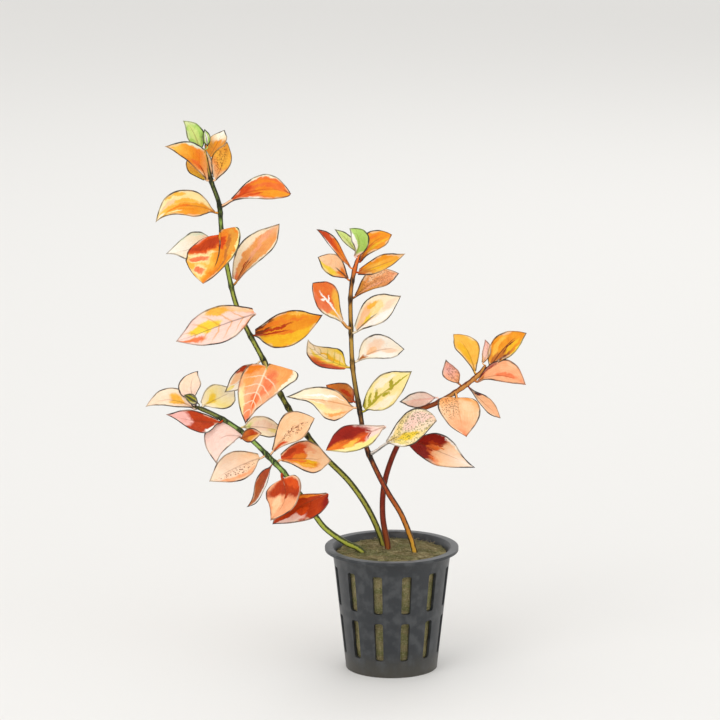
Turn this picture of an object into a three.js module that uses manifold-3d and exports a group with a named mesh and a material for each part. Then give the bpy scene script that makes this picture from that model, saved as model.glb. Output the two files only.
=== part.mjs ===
// A potted ludwigia ovalis: four leafy stems planted in a slotted growing pot filled with mineral wool.
// Millimetres, +Z up. The origin is the middle of the pot's foot. +X is to the right, +Y away from the front.
import * as THREE from "three";
import { mergeVertices } from "three/addons/utils/BufferGeometryUtils.js";
import Module from "manifold-3d";

const wasm = await Module();
wasm.setup();

// Clear space between touching pieces, so that each stays a solid of its own
const GAP = 0.35;

const POT = {
  height: 50,
  rimRadius: 27,
  lipThickness: 1.4,
  topRadius: 24,
  footRadius: 18.5,
  wall: 1.2,
  floor: 1.6,
  sides: 48,
  slotColumns: 12,
  slotTiers: [
    { bottom: 7, top: 23, width: 3.5 },
    { bottom: 27, top: 43, width: 3.9 },
  ],
  floorSlots: 8,
  floorSlotInner: 7,
  floorSlotOuter: 15,
  floorSlotWidth: 2.4,
  wallCut: 8,
  floorCut: 6,
};

// The top is flat out to the crown's share of its radius, and slopes down from there to the edge
const WOOL = { edgeHeight: 47.6, crownHeight: 49.2, crownShare: 0.6, sides: 36 };

const STEM = { sides: 8, jointSwelling: 1.22, longestStep: 8, shortestStep: 2.6 };

// A blade's outline from its lower end to its tip: how far along, and the half width as a share of the widest
const OUTLINES = {
  oval: [
    [0, 0.09],
    [0.14, 0.5],
    [0.32, 0.92],
    [0.5, 1],
    [0.7, 0.78],
    [0.87, 0.36],
  ],
  round: [
    [0, 0.4],
    [0.07, 0.82],
    [0.24, 1],
    [0.46, 0.96],
    [0.7, 0.68],
    [0.87, 0.34],
  ],
  heart: [
    [0, 0.4],
    [0.07, 0.84],
    [0.22, 1],
    [0.42, 0.86],
    [0.66, 0.52],
    [0.85, 0.24],
  ],
};

// Stalk is the usual share of the leaf's length. Fold is how far the blade's edges rise above its midrib, as
// a share of the half width. The shoulders are halfway out, and rise to a share of the midrib's thickness.
const LEAF = {
  stalk: 0.1,
  stalkHalfWidth: 0.65,
  stalkHalfThickness: 0.5,
  halfThickness: 0.38,
  fold: 0.2,
  shoulderAcross: 0.5,
  shoulderLift: 0.75,
};

const ROUGHNESS = { pot: 0.45, wool: 0.95, stem: 0.5, leaf: 0.55 };

const COLOURS = {
  pot: 0x23262a,
  wool: 0x8b8461,
  green: 0xa9cf66,
  olive: 0x7f7b35,
  cream: 0xf6e3b4,
  blush: 0xf7cdbb,
  yellow: 0xf2cf5e,
  amber: 0xf0a63a,
  orange: 0xf07f2c,
  coral: 0xf09a70,
  peach: 0xf6bd97,
  rust: 0xc4531c,
  maroon: 0x8a2413,
};

// One row per leaf, from the stem's tip down: height of its joint on the stem; reach from there to the leaf's
// tip in x, y and z; width; roll, 0 where the upper face looks to the front and 90 where it looks up; arch,
// how far the blade's middle rises above the straight line from foot to tip; colour; and where they differ
// from the usual, the outline, the stalk's share of the length, or the heel: where a stalk turns back across
// the stem or stands off it, the offset of the blade's lower end from the joint.
const STEMS = [
  {
    name: "tall",
    colour: 0x7d8a2e,
    footRadius: 1.3,
    tipRadius: 0.9,
    route: [
      [-2, 6, 28], [-2.4, 6, 40], [-3.6, 6, 49.5], [-8.8, 7, 62.4], [-16.8, 8, 74.5], [-28, 9, 86.1],
      [-40.8, 8.5, 103.8], [-52, 7.5, 126.1], [-61.6, 6, 146.1], [-65.6, 4.5, 162.7], [-68, 4, 179.2],
      [-68.8, 3.5, 189.5], [-72, 3, 199.4], [-74.4, 3, 211.5],
    ],
    leaves: [
      [210.5, [-8, 1, 13], 8, 35, 1, "green"],
      [211.5, [0, 2, 8], 4, 40, 0, "green"],
      [208, [7, 9, 10], 8, 45, 0, "amber"],
      [199.5, [-17.6, -9, 14.7], 9, 50, 3.6, "orange"],
      [201, [6.5, -5, 14], 10, 42, -0.5, "amber"],
      [196, [-11, 8, 13], 9, 50, 0.3, "amber"],
      [191, [28, 8, 2], 11.5, 42, 3.4, "orange"],
      [186, [-25.6, -10, -1.6], 12.5, 45, 4.5, "yellow"],
      [176, [-23, 13, -8.6], 13, 49, -1.5, "cream"],
      [178, [-7, -17, -17.5], 23, 38, -2.5, "orange", { outline: "round" }],
      [156, [20, 13, 22.2], 15, 50, 2, "peach"],
      [144, [-25, -12, -9], 16, 34, 0.5, "peach", { heel: [6, -8, 2] }],
      [135, [29, -13, 10.8], 15.5, 37, -1.6, "amber"],
      [124.5, [-8, -19, -19.5], 26, 45, -5, "coral", { outline: "heart", heel: [1, -6, -1.5] }],
      [125.5, [-15.6, -2, -13], 9.5, 48, -0.8, "peach"],
    ],
  },
  {
    name: "low",
    colour: 0x8a8f3a,
    footRadius: 1.3,
    tipRadius: 0.9,
    route: [
      [-8, -4, 28], [-8.4, -4, 42], [-12.8, -4, 49.6], [-18.4, -4.5, 52.6], [-26.8, -5, 58.8],
      [-32, -5.5, 65.9], [-43.2, -7, 82.2], [-49.6, -7.5, 89.2], [-55.6, -8, 95.5], [-64.8, -8.5, 102.9],
      [-74.8, -9.5, 108.5], [-79.2, -10, 110.2],
    ],
    leaves: [
      [109.6, [-21, 5, -0.4], 10, 52, 3.2, "peach"],
      [110, [0.5, 8, 13], 11, 33, 2, "blush"],
      [110.2, [-4, -2, 7], 4, 40, 0, "olive"],
      [109, [13, 22, 3], 12, 40, 0, "yellow"],
      [104.6, [-22, -13, 4.9], 11, 50, -0.9, "coral"],
      [98, [-12, -14, -8.6], 13, 38, 6, "blush"],
      [100, [18, 14, -4], 10, 50, 0.8, "cream"],
      [97, [7, -7, 3], 5, 46, 0.3, "rust"],
      [90, [-22, -12, -8.7], 13, 34, 1, "peach"],
      [86, [22, 7, -1], 13, 27, 1, "orange"],
      [86.5, [-10, 9, -19.5], 6, 62, -0.5, "rust"],
      [82.5, [-5.5, -12, -16.5], 17, 42, -4, "coral", { outline: "round" }],
      [66, [-15.5, -7, -4], 11, 44, 1, "rust", { heel: [6, -6, 8.5] }],
      [89, [18, 3, 16], 12, 34, 1.5, "peach"],
    ],
  },
  {
    name: "middle",
    colour: 0x9a7a2e,
    footRadius: 1.2,
    tipRadius: 0.85,
    route: [
      [10, -5, 28], [10, -5, 42], [8.8, -5, 50.7], [4, -5, 64.1], [-1.6, -5, 73.6], [-6.4, -4.5, 82.9],
      [-10.4, -3.5, 92.5], [-12.8, -2, 106], [-15.6, -1, 123], [-16.4, 0, 139.1], [-16.4, 0, 155.5],
      [-14.6, 0, 165], [-12.8, 0, 170.5],
    ],
    leaves: [
      [166, [-15, -9, 16], 8, 60, 0.5, "rust"],
      [170, [-10, 6, 9], 5, 50, 0.7, "green"],
      [168.5, [-3, -3, 13], 8, 30, 2.6, "green"],
      [167, [14, 9, 9.2], 10, 43, 2.5, "orange"],
      [159, [-14, 8, 7.8], 9.5, 35, 1.2, "peach"],
      [163, [20, -12, 10.3], 9, 58, -0.3, "amber"],
      [152, [19, 13, 6.7], 11, 48, 1.6, "coral"],
      [140, [-15, -14, 21], 13, 42, 1, "orange", { stalk: 0.25 }],
      [138, [20, -11, 17.5], 13, 47, 1.2, "cream"],
      [124, [-19, 14, 8.1], 12, 50, -1.8, "yellow"],
      [126, [21, 11, 2.7], 12, 43, 2.5, "cream"],
      [108, [-29, -3, 4], 13, 38, 1.4, "cream"],
      [110, [-13, 12, 4.4], 9, 44, 0.5, "rust"],
      [106, [21, -6, 17], 14, 40, 1.2, "yellow"],
      [97, [-15, -11, -4], 12, 33, 0.3, "maroon", { heel: [8.5, -8, 5] }],
      [89, [27, -5, 15], 15, 46, 1.5, "cream", { stalk: 0.24 }],
    ],
  },
  {
    name: "right",
    colour: 0xa0602c,
    footRadius: 1.3,
    tipRadius: 0.9,
    route: [
      [-1, 0, 28], [-1, 0.5, 40], [-1.6, 1, 49.8], [-3.6, 2, 61.8], [-3.2, 3, 73.9], [-0.4, 4, 84.3],
      [4.4, 3.5, 95.1], [10.4, 2, 105.2], [18, 0, 109.3], [27.2, -2, 115.4], [34.8, -3, 121.8],
      [37.4, -3, 125.5],
    ],
    leaves: [
      [121, [-9, 9, 15.4], 11, 46, 1.5, "amber"],
      [125.2, [0, 6, 9.5], 5, 50, -1.5, "blush"],
      [124.7, [16, 0, 15], 12, 44, 1.2, "orange"],
      [119.8, [20.2, -13, 0.4], 11, 50, 3.2, "coral"],
      [116, [-7, 10, 9.4], 9, 40, -1, "coral"],
      [110, [-16, 9, -1.6], 8.5, 50, -0.6, "blush"],
      [114, [3, -18, -14], 17, 20, 0, "peach", { outline: "round" }],
      [117.4, [14, 5, -14.4], 8, 60, -0.6, "peach"],
      [95, [29, -12, -9.9], 15, 46, 0, "maroon", { stalk: 0.15 }],
    ],
  },
];

const UP = new THREE.Vector3(0, 0, 1);
const AWAY = new THREE.Vector3(0, 1, 0);

function vector([x, y, z]) {
  return new THREE.Vector3(x, y, z);
}

// The part of a vector that is square to a direction, as a unit vector
function squareTo(direction, v) {
  return v.clone().addScaledVector(direction, -v.dot(direction)).normalize();
}

// A closed skin over rings of equal size: the first ring is capped flat, and the last one ends in a point.
// Each ring runs anticlockwise as seen from the end.
function skin(rings, endPoint) {
  const count = rings[0].length;
  const points = rings.flat();
  const centre = rings[0].reduce((sum, p) => sum.add(p), new THREE.Vector3()).divideScalar(count);
  const centreIndex = points.push(centre) - 1;
  const endIndex = points.push(endPoint) - 1;
  const faces = [];
  for (let ring = 0; ring < rings.length; ring++) {
    for (let k = 0; k < count; k++) {
      const here = ring * count + k;
      const next = ring * count + ((k + 1) % count);
      if (ring === 0) faces.push(centreIndex, next, here);
      if (ring === rings.length - 1) faces.push(here, next, endIndex);
      else faces.push(here, next, here + count, next, next + count, here + count);
    }
  }
  const geometry = new THREE.BufferGeometry().setFromPoints(points);
  geometry.setIndex(faces);
  return geometry;
}

function solidOf(geometry) {
  const plain = geometry.clone();
  plain.deleteAttribute("normal");
  plain.deleteAttribute("uv");
  const merged = mergeVertices(plain, 1e-4);
  return new wasm.Manifold(
    new wasm.Mesh({
      numProp: 3,
      vertProperties: merged.attributes.position.array,
      triVerts: new Uint32Array(merged.index.array),
    }),
  );
}

function geometryOf(solid) {
  const { vertProperties, triVerts } = solid.getMesh();
  const geometry = new THREE.BufferGeometry();
  geometry.setAttribute("position", new THREE.BufferAttribute(vertProperties, 3));
  geometry.setIndex(new THREE.BufferAttribute(triVerts, 1));
  return geometry;
}

function piece(name, geometry, colour, roughness) {
  const flat = geometry.toNonIndexed();
  flat.computeVertexNormals();
  const mesh = new THREE.Mesh(flat, new THREE.MeshStandardMaterial({ color: colour, roughness }));
  mesh.name = name;
  return mesh;
}

// A round body turned about the pot's axis, from radius and height pairs that run up the outside
function turned(profile, sides) {
  const outline = profile.map(([radius, height]) => new THREE.Vector2(radius, height));
  return new THREE.LatheGeometry(outline, sides).rotateX(Math.PI / 2);
}

function potWallRadius(height) {
  return THREE.MathUtils.mapLinear(height, 0, POT.height, POT.footRadius, POT.topRadius);
}

// A box that cuts a slot, at an angle round the pot: its size is given outwards, along the wall and upwards
function slotCutter(angle, radius, height, size) {
  const box = new THREE.BoxGeometry(...size).translate(radius, 0, height);
  return solidOf(box.rotateZ(angle));
}

function potSolid() {
  const lipBottom = POT.height - POT.lipThickness;
  let pot = solidOf(
    turned(
      [
        [0, 0],
        [POT.footRadius, 0],
        [potWallRadius(lipBottom), lipBottom],
        [POT.rimRadius, lipBottom],
        [POT.rimRadius, POT.height],
        [potWallRadius(POT.height) - POT.wall, POT.height],
        [potWallRadius(POT.floor) - POT.wall, POT.floor],
        [0, POT.floor],
      ],
      POT.sides,
    ),
  );
  for (let column = 0; column < POT.slotColumns; column++) {
    const angle = ((column + 0.5) / POT.slotColumns) * 2 * Math.PI;
    for (const { bottom, top, width } of POT.slotTiers) {
      const middle = (bottom + top) / 2;
      const size = [POT.wallCut, width, top - bottom];
      pot = pot.subtract(slotCutter(angle, potWallRadius(middle), middle, size));
    }
  }
  for (let slot = 0; slot < POT.floorSlots; slot++) {
    const angle = (slot / POT.floorSlots) * 2 * Math.PI;
    const length = POT.floorSlotOuter - POT.floorSlotInner;
    const radius = (POT.floorSlotOuter + POT.floorSlotInner) / 2;
    pot = pot.subtract(slotCutter(angle, radius, 0, [length, POT.floorSlotWidth, POT.floorCut]));
  }
  return pot;
}

// The place along a rising curve, from 0 to 1, where it passes a height
function shareAtHeight(curve, height) {
  let low = 0;
  let high = 1;
  for (let step = 0; step < 30; step++) {
    const middle = (low + high) / 2;
    if (curve.getPointAt(middle).z < height) low = middle;
    else high = middle;
  }
  return (low + high) / 2;
}

function stemRadius(stem, share) {
  return THREE.MathUtils.lerp(stem.footRadius, stem.tipRadius, share);
}

// Stations of a stem: one at each leaf joint, which swells, and plain ones evenly between them
function stemStations(stem) {
  const length = stem.curve.getLength();
  const joints = stem.leaves.map(({ height }) => shareAtHeight(stem.curve, height)).sort((a, b) => a - b);
  const kept = [0];
  for (const share of joints) {
    if ((share - kept.at(-1)) * length > STEM.shortestStep) kept.push(share);
  }
  const stations = [];
  kept.forEach((share, index) => {
    const next = kept[index + 1] ?? 1;
    const steps = Math.max(2, Math.ceil(((next - share) * length) / STEM.longestStep));
    for (let step = 0; step < steps; step++) {
      const swelling = step === 0 && index > 0 ? STEM.jointSwelling : 1;
      stations.push({ share: share + ((next - share) * step) / steps, swelling });
    }
  });
  return stations;
}

// The stem's skin, or with extra radius and length the socket that it stands in
function stemGeometry(stem, extra = 0) {
  const rings = stem.stations.map(({ share, swelling }) => {
    const centre = stem.curve.getPointAt(share);
    const along = stem.curve.getTangentAt(share);
    if (share === 0) centre.addScaledVector(along, -extra);
    const side = new THREE.Vector3().crossVectors(AWAY, along).normalize();
    const front = new THREE.Vector3().crossVectors(along, side);
    const radius = stemRadius(stem, share) * swelling + extra;
    return Array.from({ length: STEM.sides }, (_, k) => {
      const angle = (k / STEM.sides) * 2 * Math.PI;
      return centre
        .clone()
        .addScaledVector(side, radius * Math.cos(angle))
        .addScaledVector(front, radius * Math.sin(angle));
    });
  });
  return skin(rings, stem.curve.getPointAt(1));
}

function woolSolid(stems) {
  const inner = (height) => potWallRadius(height) - POT.wall - GAP;
  const bottom = POT.floor + GAP;
  let wool = solidOf(
    turned(
      [
        [0, bottom],
        [inner(bottom), bottom],
        [inner(WOOL.edgeHeight), WOOL.edgeHeight],
        [inner(WOOL.edgeHeight) * WOOL.crownShare, WOOL.crownHeight],
        [0, WOOL.crownHeight],
      ],
      WOOL.sides,
    ),
  );
  for (const stem of stems) wool = wool.subtract(solidOf(stemGeometry(stem, GAP)));
  return wool;
}

// Three unit vectors of a leaf that points along a direction: square to it towards the front, square to it
// upwards, and where the rolled blade's upper face looks
function leafDirections(along, roll) {
  const front = squareTo(along, AWAY.clone().negate());
  const rise = new THREE.Vector3().crossVectors(front, along);
  if (rise.dot(UP) < 0) rise.negate();
  const angle = THREE.MathUtils.degToRad(roll);
  const face = front.clone().multiplyScalar(Math.cos(angle)).addScaledVector(rise, Math.sin(angle));
  return { front, rise, face };
}

function leafRing(centre, along, up, halfWidth, halfThickness) {
  const side = new THREE.Vector3().crossVectors(up, along).normalize();
  const fold = halfWidth > LEAF.stalkHalfWidth ? LEAF.fold * halfWidth : 0;
  const place = (across, lift) =>
    centre
      .clone()
      .addScaledVector(side, across * halfWidth)
      .addScaledVector(up, lift + fold * Math.abs(across));
  const shoulderLift = LEAF.shoulderLift * halfThickness;
  return [
    place(1, 0),
    place(LEAF.shoulderAcross, shoulderLift),
    place(0, halfThickness),
    place(-LEAF.shoulderAcross, shoulderLift),
    place(-1, 0),
    place(0, -halfThickness),
  ];
}

function bladeGeometry(foot, tip, { width, roll, arch, outline, stalk }) {
  const chord = new THREE.Vector3().subVectors(tip, foot);
  const { rise, face } = leafDirections(chord.clone().normalize(), roll);
  const middle = foot.clone().add(tip).multiplyScalar(0.5).addScaledVector(rise, 2 * arch);
  const axis = new THREE.QuadraticBezierCurve3(foot, middle, tip);
  const ring = (share, halfWidth, halfThickness) => {
    const along = axis.getTangent(share);
    return leafRing(axis.getPoint(share), along, squareTo(along, face), halfWidth, halfThickness);
  };
  const rings = OUTLINES[outline].map(([share, wide]) => {
    const halfWidth = Math.max((wide * width) / 2, LEAF.stalkHalfWidth);
    return ring(stalk + (1 - stalk) * share, halfWidth, LEAF.halfThickness);
  });
  if (stalk > 0) rings.unshift(ring(0, LEAF.stalkHalfWidth, LEAF.stalkHalfThickness));
  return skin(rings, tip);
}

// A short round stalk between two points, for a leaf that turns back across its stem
function stalkSolid(from, to) {
  const length = from.distanceTo(to);
  const stalk = new THREE.CylinderGeometry(LEAF.stalkHalfWidth, LEAF.stalkHalfWidth, length, STEM.sides);
  const turn = new THREE.Quaternion().setFromUnitVectors(AWAY, to.clone().sub(from).normalize());
  stalk.applyQuaternion(turn);
  stalk.translate(...from.clone().add(to).multiplyScalar(0.5));
  return solidOf(stalk);
}

function leafGeometry(stem, leaf) {
  const { height, reach, heel } = leaf;
  const share = shareAtHeight(stem.curve, height);
  const joint = stem.curve.getPointAt(share);
  const along = stem.curve.getTangentAt(share);
  const first = vector(heel ?? reach);
  const outward = squareTo(along, first);
  const slant = Math.abs(first.clone().normalize().dot(along));
  const clear = stemRadius(stem, share) * STEM.jointSwelling + GAP + LEAF.stalkHalfWidth * slant;
  const foot = joint.clone().addScaledVector(outward, clear);
  const tip = joint.clone().add(vector(reach));
  if (!heel) return bladeGeometry(foot, tip, leaf);
  const heelPoint = joint.clone().add(vector(heel));
  const blade = solidOf(bladeGeometry(heelPoint, tip, { ...leaf, stalk: 0 }));
  return geometryOf(blade.add(stalkSolid(foot, heelPoint)));
}

function leafOf([height, reach, width, roll, arch, colour, shape = {}]) {
  return { height, reach, width, roll, arch, colour, outline: "oval", stalk: LEAF.stalk, ...shape };
}

function stemOf({ route, leaves, ...rest }) {
  const curve = new THREE.CatmullRomCurve3(route.map(vector));
  const stem = { ...rest, curve, leaves: leaves.map(leafOf) };
  return { ...stem, stations: stemStations(stem) };
}

function stemGroup(stem) {
  const group = new THREE.Group();
  group.add(piece("stem_" + stem.name, stemGeometry(stem), stem.colour, ROUGHNESS.stem));
  stem.leaves.forEach((leaf, index) => {
    const name = `${stem.name}_leaf_${String(index + 1).padStart(2, "0")}`;
    group.add(piece(name, leafGeometry(stem, leaf), COLOURS[leaf.colour], ROUGHNESS.leaf));
  });
  return group;
}

const stems = STEMS.map(stemOf);
const plant = new THREE.Group();
plant.add(piece("pot", geometryOf(potSolid()), COLOURS.pot, ROUGHNESS.pot));
plant.add(piece("wool_plug", geometryOf(woolSolid(stems)), COLOURS.wool, ROUGHNESS.wool));
for (const stem of stems) plant.add(stemGroup(stem));

export default plant;
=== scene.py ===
"""Potted ludwigia ovalis: four leafy stems of an aquarium plant, in a slotted pot with mineral wool."""

import math
import random
from typing import NamedTuple

import bmesh
import bpy
import numpy as np
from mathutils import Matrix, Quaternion, Vector


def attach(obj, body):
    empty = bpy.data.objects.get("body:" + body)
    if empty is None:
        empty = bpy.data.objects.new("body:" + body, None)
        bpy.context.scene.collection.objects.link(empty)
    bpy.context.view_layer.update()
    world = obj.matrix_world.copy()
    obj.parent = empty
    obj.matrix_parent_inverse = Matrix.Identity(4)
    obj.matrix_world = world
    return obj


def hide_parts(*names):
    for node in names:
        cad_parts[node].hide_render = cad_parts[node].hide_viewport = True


bl_info = {
    "name": "Potted ludwigia ovalis",
    "version": (1, 0, 0),
    "blender": (4, 5, 0),
    "location": "3D View > Sidebar > Ludwigia",
    "description": "Models an aquarium plant with its growing pot, and the stage it stands on",
    "category": "Add Mesh",
}

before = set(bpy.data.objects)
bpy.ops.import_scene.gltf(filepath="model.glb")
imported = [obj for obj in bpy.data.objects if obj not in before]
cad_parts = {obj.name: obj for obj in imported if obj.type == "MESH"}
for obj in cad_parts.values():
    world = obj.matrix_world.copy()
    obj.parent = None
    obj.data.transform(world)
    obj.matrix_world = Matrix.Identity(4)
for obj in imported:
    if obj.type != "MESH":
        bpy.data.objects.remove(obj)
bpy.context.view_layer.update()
BODY = "root"

MM = 0.001
UP = Vector((0, 0, 1))
FRONT = Vector((0, -1, 0))

# Stems, in millimetres

# How many points are placed between two points of a stem's route, and how far apart its rings are then set
ROUTE_STEPS = 12
STEM_STEP = 0.7
STEM_BEVEL_RESOLUTION = 5
JOINT_SWELLING = 1.22
JOINT_LENGTH = 1.1
STEM_BUD_RADIUS = 0.3
STEM_BUD_TAPER = 0.6

# Leaves, in millimetres

# A leaf is modelled flat as one blank for each pair of outlines, at this length and width, and is then laid
# along its own spine
BLANK_LENGTH = 30.0
BLANK_WIDTH = 15.0
BLADE_COLUMNS = 56
BLADE_ROWS = 24
# How far the columns crowd towards foot and tip, where 0 is evenly spread
COLUMN_CROWDING = 0.55
LEAST_WIDTH = 1e-4
STALK_SIDES = 10
USUAL_STALK = 0.1
# The stalk of a leaf under this width is thinner, and so is one shorter than usual
SMALL_LEAF = 11.0
THIN_STALK = 0.75
# From here on the tip is drawn to one side
FLICK_START = 0.7
# How straight a stalk leaves its stem and meets its blade, as shares of the way between them
STALK_PULLS = (0.38, 0.38)
HEEL_PULLS = (0.5, 0.1)
# How far from the middle of its stem a stalk starts, as a share of the stem's radius
ROOT_SHARE = 0.2
# How far a blade stays clear of its stem, and how much further where the leaf runs along the stem
STEM_CLEARANCE = 0.35
SLANT_CLEARANCE = 0.65
STALK_STEPS = 20
BLADE_STEPS = 40
# The least of a leaf's chart that its stalk takes up
LEAST_STALK_CHART = 0.06
# The least distance that something is divided by
LEAST_LENGTH = 1e-6
# Stands for a place away from any margin
OFF_MARGIN = 9.0

# Side veins lean towards the tip, by this share of the leaf's length where they meet the margin
VEIN_LEAN = 0.2
VEIN_CURVE = 1.15
VEIN_PAIRS = 7.0
# Half widths of a vein, as a share of the space between two, and of the rib, as a share of the half blade
VEIN_HALF_WIDTH = 0.22
RIB_HALF_WIDTH = 0.16
# How many times deeper the rib lies than the side veins
RIB_DEPTH = 1.6
# Where veins, rib and thickness would run out across or along the blade. Thickness keeps a least share.
VEINS_END_ACROSS = 1.15
RIB_END_ALONG = 1.2
BODY_ACROSS = (1.25, 0.35)
BODY_ALONG = (1.3, 0.45)
LEAST_THICKNESS = 0.3

# The blade's shape across, as shares of its half width: a soft fold at the rib, and waves towards the margins
FOLD_ROUNDING = 0.06
RIPPLE = 0.035
RIPPLE_WAVES = (1.6, 2.6)
RIPPLE_SHIFT = 1.3

# Half width of one side of a blade as a share of the widest, from its lower end to its tip
OUTLINES = {
    "oval": [
        (0, 0.07), (0.05, 0.17), (0.14, 0.5), (0.32, 0.92), (0.48, 1), (0.7, 0.79),
        (0.86, 0.39), (0.94, 0.17), (1, 0),
    ],
    "broad": [
        (0, 0.32), (0.1, 0.54), (0.25, 0.82), (0.4, 0.98), (0.5, 1), (0.71, 0.79), (0.86, 0.4),
        (0.95, 0.15), (1, 0),
    ],
    "wedge": [
        (0, 0.12), (0.12, 0.28), (0.3, 0.62), (0.48, 0.92), (0.6, 1), (0.77, 0.8), (0.89, 0.43),
        (0.96, 0.18), (1, 0),
    ],
    "spoon": [
        (0, 0.12), (0.15, 0.36), (0.35, 0.76), (0.54, 0.98), (0.65, 1), (0.81, 0.84), (0.93, 0.5),
        (0.98, 0.24), (1, 0),
    ],
    "tailed": [
        (0, 0.08), (0.06, 0.2), (0.16, 0.58), (0.3, 0.93), (0.41, 1), (0.56, 0.82), (0.7, 0.48),
        (0.82, 0.22), (0.92, 0.08), (1, 0),
    ],
    "swan": [
        (0, 0.1), (0.06, 0.34), (0.16, 0.76), (0.28, 1), (0.4, 0.94), (0.52, 0.62), (0.63, 0.28),
        (0.74, 0.12), (0.88, 0.06), (1, 0),
    ],
    "clasp": [
        (0, 0.5), (0.1, 0.78), (0.22, 0.96), (0.34, 1), (0.52, 0.9), (0.72, 0.6), (0.87, 0.28),
        (0.95, 0.1), (1, 0),
    ],
    "full": [
        (0, 0), (0.01, 0.3), (0.06, 0.64), (0.13, 0.82), (0.22, 0.93), (0.38, 1), (0.6, 0.97),
        (0.82, 0.74), (0.94, 0.42), (1, 0),
    ],
    "round": [
        (0, 0), (0.015, 0.4), (0.06, 0.76), (0.16, 0.96), (0.28, 1), (0.48, 0.93), (0.7, 0.67),
        (0.86, 0.36), (0.95, 0.13), (1, 0),
    ],
    "ear": [
        (0, 0), (0.01, 0.56), (0.03, 0.85), (0.06, 0.95), (0.12, 1), (0.2, 0.96), (0.32, 0.83),
        (0.46, 0.66), (0.62, 0.47), (0.82, 0.23), (1, 0),
    ],
    "wing": [
        (0, 0), (0.01, 0.56), (0.035, 0.9), (0.08, 1), (0.17, 0.86), (0.3, 0.68), (0.45, 0.5),
        (0.6, 0.34), (0.75, 0.18), (0.9, 0.08), (1, 0),
    ],
}
# How far a side's lobe reaches back beside the stalk, as a share of the blade's length, how far up the blade
# that is felt, and how quickly it grows from the rib outwards
LOBE_REACH = {"full": 0.09, "ear": 0.17, "round": 0.04, "wing": 0.1}
LOBE_LENGTH = 0.14
LOBE_RISE = 1.6

# The stalk runs on as a rib under the blade: place, radius and how far its middle hangs below the blade.
# Places below 0 are on the stalk, with -1 inside the stem, and 1 is the blade's tip.
RIB = [
    (-1.0, 0.85, 0.0), (-0.88, 0.8, 0.0), (-0.75, 0.7, 0.0), (-0.6, 0.64, 0.0), (-0.45, 0.62, 0.0),
    (-0.3, 0.62, 0.0), (-0.15, 0.6, -0.08), (-0.04, 0.58, -0.25), (0.04, 0.54, -0.42), (0.12, 0.48, -0.46),
    (0.2, 0.43, -0.42), (0.3, 0.38, -0.38), (0.4, 0.34, -0.34), (0.5, 0.3, -0.3), (0.6, 0.26, -0.26),
    (0.7, 0.22, -0.22), (0.8, 0.18, -0.18), (0.88, 0.13, -0.14),
]
# The share of the blade over which the stalk's colour ends and the rib's underside begins
STALK_FADE = 0.1


class Leaf(NamedTuple):
    """One leaf, in millimetres and degrees: the height of its joint, the reach from there to its tip, width,
    roll (0 faces the front, 90 faces up), arch, a tone that is not used, the outlines of its left and right
    side seen from the foot, how wide each of these is (1 is half the leaf's width), how far the tip is drawn
    to the left, and the stalk's share of the length. Where the stalk turns back across the stem, the heel is
    the blade's lower end from the joint."""

    height: float
    reach: tuple
    width: float
    roll: float
    arch: float
    tone: str
    sides: tuple = ("oval", "oval")
    widths: tuple = (1, 1)
    flick: float = 0
    stalk: float = USUAL_STALK
    heel: tuple = None


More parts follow.
